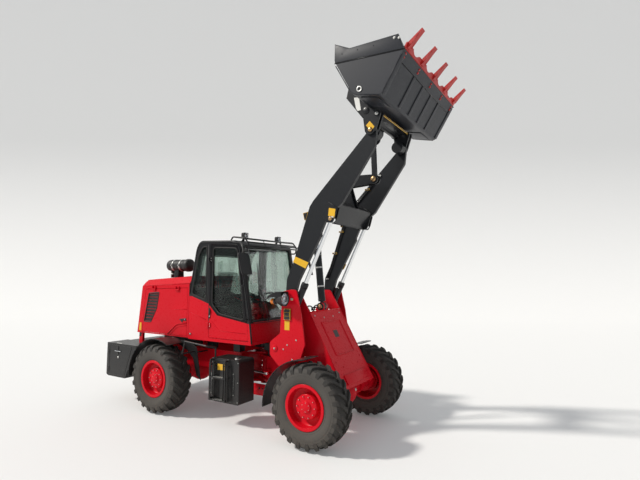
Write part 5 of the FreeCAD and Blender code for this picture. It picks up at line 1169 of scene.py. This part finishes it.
for z, way in ((0.9205, 1), (0.4495, -1)):
    pivot.disc((PIVOT_X, 0, z), (0, 0, way), 0.062, 0.012, red_paint, 32, rim=(0.002, 0.004))
    for i in range(3):
        turn = 2 * math.pi * i / 3
        pivot.bolt((PIVOT_X + 0.042 * math.cos(turn), 0.042 * math.sin(turn), z + way * 0.012),
                   (0, 0, way), 0.008, zinc)
pivot.done("pivot_caps", "front_frame")

# Boom: two knee-shaped arms of thick plate joined by a box beam. Weld beads run round the beam
# and the lugs, blank yellow plates mark the outer faces, two clipped steel pipes follow each
# arm's inner face, and the lift cylinders' pins are held by bolted keeper plates.
boom_paint = finish("boom_paint", (0.008, 0.009, 0.011), 0.34, dust=0.05, wear=0.35,
                    edge_colour=(0.07, 0.07, 0.08), coat=0.1, specular=0.3)
pin_bronze = finish("pin_bronze", (0.46, 0.3, 0.15), 0.32, dust=0.05, wear=0.0, metallic=0.9)
dress(boom_paint, "boom_arm_left", "boom_arm_right", "boom_crossbeam")
BEAM_CORNERS = [(-0.06, 2.74), (0.06, 2.70), (0.205, 2.93), (0.075, 3.015)]
LUG_OUTLINE = [(0.06, 2.96), (0.19, 2.88), (0.155, 2.755), (0.12, 2.685), (0.03, 2.715),
               (-0.03, 2.80)]
boom_trim = Build()
boom_trim.prism([(-0.441, 2.276), (-0.236, 2.195), (-0.281, 2.118), (-0.480, 2.204)], "y", 0.5199,
                0.5213, yellow_plate)
boom_trim.prism([(0.075, 2.885), (0.170, 2.865), (0.156, 2.762), (0.064, 2.783)], "y", 0.5339,
                0.5353, yellow_plate)
boom_trim.prism([(-0.252, 2.862), (-0.335, 2.848), (-0.312, 2.752), (-0.285, 2.752)], "y", 0.475,
                0.515, boom_paint, 0.005)
for a, b in zip(BEAM_CORNERS, BEAM_CORNERS[1:] + BEAM_CORNERS[:1]):
    boom_trim.bead(0.4555, (a, b), 0.0065, boom_paint)
for a, b in ((0, 1), (1, 2), (4, 5), (5, 0)):
    boom_trim.bead(0.5205, (LUG_OUTLINE[a], LUG_OUTLINE[b]), 0.006, boom_paint)
boom_trim.turned([(-0.002, 0.036), (0.003, 0.036), (0.005, 0.034), (0.005, 0)],
                 (0.095, 0.534, 2.745), OUT, boom_paint, 32)
boom_trim.disc((0.095, 0.534, 2.745), OUT, 0.0245, 0.012, pin_bronze, 28, rim=(0.002, 0.0035))
boom_trim.block((0.112, 0.150), (0.533, 0.541), (2.752, 2.776), zinc, 0.002)
boom_trim.bolt((0.138, 0.541, 2.764), OUT, 0.007, zinc)
boom_trim.turned([(-0.003, 0.060), (0.004, 0.060), (0.007, 0.056), (0.007, 0.0365)],
                 (-0.52, 0.540, 1.72), OUT, boom_paint, 40)
for offset in (0, 0.024):
    rear_edge = [(-0.545 + offset, 0.459, 1.97), (-0.467 + offset, 0.459, 2.16),
                 (-0.205 + offset, 0.459, 2.915), (-0.148 + offset, 0.459, 2.985),
                 (0.33 + offset, 0.459, 3.47)]
    boom_trim.tube(rear_edge, 0.0085, black_paint, corner=0.09)
    for nut_at, way in ((rear_edge[-1], (-0.7, 0, -0.72)), (rear_edge[0], (0.38, 0, 0.92))):
        boom_trim.turned([(0, 0), (0, 0.0125), (0.02, 0.0125), (0.022, 0)], nut_at, way, zinc, 6,
                         False)
for x, z in ((-0.41, 2.36), (-0.30, 2.68), (-0.075, 3.07), (0.13, 3.28)):
    boom_trim.block((x - 0.028, x + 0.050), (0.449, 0.4705), (z - 0.012, z + 0.012), black_plastic,
                    0.003)
    boom_trim.bolt((x + 0.011, 0.449, z), (0, -1, 0), 0.0065, zinc)
boom_trim.mirrored()
for y in (-0.36, -0.13, 0.13, 0.36):
    boom_trim.bolt((0.025, y, 2.7105), (-0.3, 0, -0.95), 0.009, zinc)
for x, z in ((0.0605, 2.7005), (0.2055, 2.9305)):
    boom_trim.tube([(x, -0.44, z), (x, 0.44, z)], 0.005, boom_paint, steps=8)
for y in (0.0825, -0.0825):
    boom_trim.bead(y, [(0.02, 2.985), (0.185, 2.935)], 0.006, boom_paint)
boom_trim.done("boom_trim", "boom")

# Rocker and link: cast bell crank in two plates with a rubbed pin end and a grease fitting at
# each eye. The pins' wide keepers are painted as the arms are.
dress(boom_paint, "rocker", "link", "rocker_pin", "link_pin", "tilt_pin", "hitch_pins")
rocker_trim = Build()
for x, z, y, radius in ((0.468, 3.309, 0.0555, 0.026), (-0.48, 2.915, 0.0458, 0.026)):
    rocker_trim.turned([(-0.001, 0), (-0.001, radius + 0.012), (0.004, radius + 0.010),
                        (0.005, radius), (0.009, radius), (0.011, radius - 0.003), (0.011, 0)],
                       (x, y, z), OUT, pin_bronze, 28)
    rocker_trim.turned([(0, 0), (0, 0.006), (0.006, 0.005), (0.008, 0)], (x, y + 0.011, z), OUT,
                       zinc, 8)
rocker_trim.mirrored()
rocker_trim.done("rocker_trim", "rocker")

link_trim = Build()
link_trim.turned([(-0.001, 0), (-0.001, 0.030), (0.006, 0.030), (0.008, 0.027), (0.008, 0)],
                 (0.445, 0.0696, 3.87), OUT, pin_bronze, 28)
link_trim.bolt((0.472, 0.0696, 3.905), OUT, 0.008, zinc)
link_trim.mirrored()
link_trim.done("link_pin_ends", "link_pin")

PIN_ENDS = (
    # name, body, place of the pin's end, radius
    ("rocker_pin_ends", "rocker_pin", (0.02, 0.0822, 3.305), 0.034),
    ("tilt_pin_ends", "tilt_pin", (-0.334, 0.0676, 1.60), 0.028),
    ("tip_pin_ends", "hitch_pins", (0.655, 0.554, 3.80), 0.024))
for name, body, (x, y, z), radius in PIN_ENDS:
    pin_end = Build()
    pin_end.turned([(-0.001, 0), (-0.001, radius + 0.004), (0.003, radius + 0.004), (0.004, radius),
                    (0.007, radius), (0.009, radius - 0.003), (0.009, 0)], (x, y, z), OUT,
                   pin_bronze, 28)
    pin_end.turned([(0, 0), (0, 0.006), (0.006, 0.005), (0.008, 0)], (x, y + 0.009, z), OUT, zinc,
                   8)
    pin_end.mirrored()
    pin_end.done(name, body)

# Cylinders: black barrels with a ring nut at the gland, a bright wiper round the chromed rod, a
# port block at each end and a steel feed pipe along the barrel, held by two bands.
PORT_START, PORT_BACK, EYE_RADIUS = 0.145, 0.09, 0.045
CYLINDERS = (
    # name, foot, eye, depth y, barrel radius, length, rod radius, side of the pipe
    ("lift_barrel_left", (-0.700, 1.070), (0.095, 2.745), 0.495, 0.045, 0.945, 0.025, -1),
    ("lift_barrel_right", (-0.700, 1.070), (0.095, 2.745), -0.495, 0.045, 0.945, 0.025, 1),
    ("tilt_barrel", (-0.334, 1.600), (-0.480, 2.915), 0, 0.050, 0.800, 0.027, 1))
dress(boom_paint, "tilt_barrel", "lift_barrel_left", "lift_barrel_right")
dress(chrome, "lift_rod_left", "lift_rod_right", "tilt_rod")
for name, foot, eye, y, radius, length, rod_radius, pipe_side in CYLINDERS:
    reach = math.hypot(eye[0] - foot[0], eye[1] - foot[1])
    way_x, way_z = (eye[0] - foot[0]) / reach, (eye[1] - foot[1]) / reach
    jacket = Build()
    axis = (way_x, 0, way_z)
    gland_at = (foot[0] + way_x * length, y, foot[1] + way_z * length)
    jacket.turned([(-0.065, radius), (-0.063, radius + 0.0035), (-0.018, radius + 0.0035),
                   (-0.014, radius + 0.001), (-0.010, radius + 0.0035), (-0.001, radius + 0.0025),
                   (0.004, radius - 0.004), (0.005, rod_radius + 0.006)], gland_at, axis,
                  boom_paint, 40)
    jacket.turned([(0.003, rod_radius + 0.008), (0.009, rod_radius + 0.005),
                   (0.010, rod_radius + 0.0012), (0.002, rod_radius + 0.0012)], gland_at, axis,
                  dark_rubber, 32, True, True)
    jacket.turned([(0.085, radius - 0.004), (0.088, radius + 0.003), (0.098, radius + 0.003),
                   (0.101, radius)], (foot[0], y, foot[1]), axis, boom_paint, 40)
    run = y + pipe_side * (radius + 0.012)
    port_start, port_end, root = PORT_START, length - PORT_BACK, y + pipe_side * radius * 0.9
    pipe = [(foot[0] + way_x * d, depth, foot[1] + way_z * d) for d, depth in ((port_start, root),
            (port_start, run), (port_end, run), (port_end, root))]
    jacket.tube(pipe, 0.0075, black_paint, corner=0.02, steps=10)
    for d in (port_start, port_end):
        jacket.turned([(0, 0.013), (0.008, 0.013), (0.010, 0.009)], (foot[0] + way_x * d,
                      y + pipe_side * radius * 0.97, foot[1] + way_z * d), (0, pipe_side, 0), zinc,
                      6, False)
    for share in (0.35, 0.68):
        band_at = (foot[0] + way_x * length * share, y, foot[1] + way_z * length * share)
        jacket.turned([(-0.010, radius + 0.0004), (-0.010, radius + 0.002), (0.010, radius + 0.002),
                       (0.010, radius + 0.0004)], band_at, axis, zinc, 40, False, True)
    jacket.done(name + "_trim", name)
for name, x, z, depth in (("lift_rod", 0.095, 2.745, 0.495), ("tilt_rod", -0.48, 2.915, 0)):
    for hand, sign in ((("_left", 1), ("_right", -1)) if depth else (("", 1),)):
        eye_ring = Build()
        for face in (-1, 1):
            half = 0.0252 if depth else 0.0266
            eye_ring.turned([(-0.0004, EYE_RADIUS - 0.001), (0.0009, EYE_RADIUS - 0.002),
                             (0.0009, 0.030), (-0.0004, 0.029)], (x, sign * depth + face * half, z),
                            (0, face, 0), boom_paint, 40, True, True)
        eye_ring.done(name + hand + "_eye", name + hand)

# Quick hitch: thick side ears with weld beads to the cross tube, a cross plate between them, a
# bright locking pin on each side with its short cylinder, and a blank yellow plate on each outer
# ear.
HITCH_FACE = 0.5475
dress(boom_paint, "quick_hitch")
hitch = Build()
hitch.prism([(0.650, 3.908), (0.713, 3.828), (0.667, 3.780), (0.600, 3.860)], "y", 0.5469, 0.5482,
            yellow_plate)
hitch.turned([(-0.002, 0.045), (0.004, 0.045), (0.007, 0.041), (0.007, 0)], (0.60, 0.547, 4.05),
             OUT, boom_paint, 32)
hitch.disc((0.745, HITCH_FACE, 3.985), OUT, 0.021, 0.016, zinc, rim=(0.002, 0.003))
hitch.turned([(0.002, 0.027), (0.004, 0.03), (0.007, 0.03), (0.008, 0.027)],
             (0.745, HITCH_FACE, 3.985), OUT, boom_paint, 24)
for a, b in (((0.56, 3.962), (0.33, 4.262)), ((0.66, 4.07), (0.79, 4.015))):
    hitch.bead(HITCH_FACE, (a, b), 0.005, boom_paint)
hitch.turned([(0, 0.057), (0.004, 0.064), (0.010, 0.057)], (0.59, 0.417, 4.01), (0, -1, 0),
             boom_paint, 32)
hitch.turned([(0, 0.030), (0, 0.034), (0.12, 0.034), (0.125, 0.030), (0.125, 0.016), (0.20, 0.016)],
             (0.70, 0.14, 4.02), OUT, boom_paint, 24)
hitch.turned([(0, 0.0155), (0.18, 0.0155)], (0.70, 0.26, 4.02), OUT, chrome, 20)
hitch.mirrored()
hitch.prism([(0.625, 3.985), (0.775, 3.990), (0.785, 4.004), (0.640, 4.003)], "y", -0.415, 0.415,
            boom_paint, 0.004)
hitch.done("hitch_trim", "bucket")

# Bucket: welded from plate. A pressed seam crosses each side below the doubled top strip, wear
# strips run along the floor and round the heel, a round gusset ring and bolts show on the sides,
# and a bare white plate is fixed at each side of the back.
SIDE_Y = 0.98
FLOOR_LOW, FLOOR_LIP = (0.987, 4.016), (1.262, 4.477)
HEEL = (0.636, 4.089)
floor_length = math.hypot(FLOOR_LIP[0] - FLOOR_LOW[0], FLOOR_LIP[1] - FLOOR_LOW[1])
floor_x = (FLOOR_LIP[0] - FLOOR_LOW[0]) / floor_length
floor_z = (FLOOR_LIP[1] - FLOOR_LOW[1]) / floor_length


def on_floor(along_floor, out):
    """(x, z) of a place on the bucket's floor: distance from the heel's corner, and out from it."""
    return (FLOOR_LOW[0] + floor_x * along_floor + floor_z * out,
            FLOOR_LOW[1] + floor_z * along_floor - floor_x * out)


bucket_paint = finish("bucket_paint", (0.016, 0.018, 0.024), 0.4, dust=0.06, wear=0.45,
                      edge_colour=(0.12, 0.12, 0.13), tone=0.12, specular=0.35)
dress(bucket_paint, "bucket")
shell = Build()
shell.bead(SIDE_Y, [(0.402, 4.506), (1.268, 4.463)], 0.0055, black_paint)
shell.prism([(0.408, 4.735), (0.406, 4.512), (1.25, 4.470), (1.186, 4.643), (0.604, 4.638),
             (0.55, 4.655)], "y", SIDE_Y - 0.001, SIDE_Y + 0.0045, bucket_paint, 0.002)
shell.turned([(-0.001, 0.034), (0.007, 0.034), (0.009, 0.031), (0.009, 0.022), (0.006, 0.019),
              (-0.001, 0.019)], (0.724, SIDE_Y, 4.133), OUT, zinc, 32)
shell.turned([(0, 0.019), (0.001, 0)], (0.724, SIDE_Y, 4.133), OUT, black_paint, 32)
for x, z in ((1.205, 4.60), (1.150, 4.615)):
    shell.bolt((x, SIDE_Y + 0.0045, z), OUT, 0.014, zinc)
for x, z in ((0.50, 4.60), (0.70, 4.60), (0.90, 4.595)):
    shell.bolt((x, SIDE_Y + 0.0045, z), OUT, 0.006, bucket_paint)
shell.bead(SIDE_Y - 0.003, [on_floor(0.06, 0.0005), on_floor(0.46, 0.0005)], 0.006, bucket_paint)
shell.bead(SIDE_Y - 0.003, [(0.415, 4.475), (0.625, 4.095), (0.96, 4.022)], 0.006, bucket_paint,
           0.08)
shell.prism([on_floor(0.02, 0), on_floor(0.50, 0), on_floor(0.50, 0.010), on_floor(0.02, 0.010)],
            "y", 0.90, 0.979, bucket_paint, 0.002)
shell.prism([(0.435, 4.240), (0.504, 4.238), (0.531, 4.069), (0.472, 4.061)], "y", 0.5469, 0.5482,
            white_plate)
shell.mirrored()
for y in (-0.47, -0.157, 0.157, 0.47):
    shell.prism([on_floor(0.015, 0), on_floor(0.40, 0), on_floor(0.40, 0.010),
                 on_floor(0.015, 0.010)], "y", y - 0.03, y + 0.03, bucket_paint, 0.002)
seam_x, seam_z = on_floor(0.405, 0.001)
shell.tube([(seam_x, -0.97, seam_z), (seam_x, 0.97, seam_z)], 0.005, black_paint, steps=8)
heel_way = (Vector(FLOOR_LOW) - Vector(HEEL)).normalized()
heel_out = Vector((heel_way.y, -heel_way.x))
corners = [Vector(HEEL) + heel_way * d + heel_out * rise
           for d, rise in ((0.07, 0), (0.285, 0), (0.285, 0.009), (0.07, 0.009))]
for low, high in ((-0.90, -0.56), (0.56, 0.90)):
    shell.prism(corners, "y", low, high, bucket_paint, 0.002)
shell.done("bucket_trim", "bucket")

# Teeth and cutting edge: forged teeth, each clamped by a strap with two countersunk bolts through
# the edge plate, ground bright at the tip; the edge has a bevel and a weld bead to the floor.
TOOTH_SPOTS = [(-0.92 + 1.84 * i / 4) * 0.98 for i in range(5)]
TOOTH_ROOT, TOOTH_TIP, EDGE_PLATE = (1.282, 4.48), (1.455, 4.669), 0.0298
tooth_red = finish("tooth_red", (0.42, 0.012, 0.01), 0.36, dust=0.08, wear=0.55,
                   edge_colour=(0.13, 0.08, 0.06), tone=0.2)
dress(tooth_red, "bucket_teeth")
root, tip = Vector(TOOTH_ROOT), Vector(TOOTH_TIP)
tooth_way = (tip - root).normalized()
near, far = root + tooth_way * 0.03, root + tooth_way * 0.19
teeth_trim = Build()
for y in TOOTH_SPOTS:
    for down in (-0.085, -0.045, 0.015):
        x, z = on_floor(floor_length + down, -EDGE_PLATE)
        teeth_trim.bolt((x, y, z), (-floor_z, 0, floor_x), 0.011, tooth_red)
    for down in (-0.075, -0.035):
        x, z = on_floor(floor_length + down, 0.0002)
        teeth_trim.turned([(0, 0), (0, 0.016), (0.004, 0.015), (0.011, 0.010), (0.012, 0)],
                          (x, y, z), (floor_z, 0, -floor_x), tooth_red, 16)
    for edge_y in (-0.0352, 0.0352):
        teeth_trim.bead(y + edge_y, (near, far), 0.004, tooth_red, steps=6)
lip_x, lip_z = on_floor(floor_length + 0.002, 0)
teeth_trim.tube([(lip_x, -0.965, lip_z), (lip_x, 0.965, lip_z)], 0.005, tooth_red, steps=8)
teeth_trim.done("teeth_trim", "bucket")
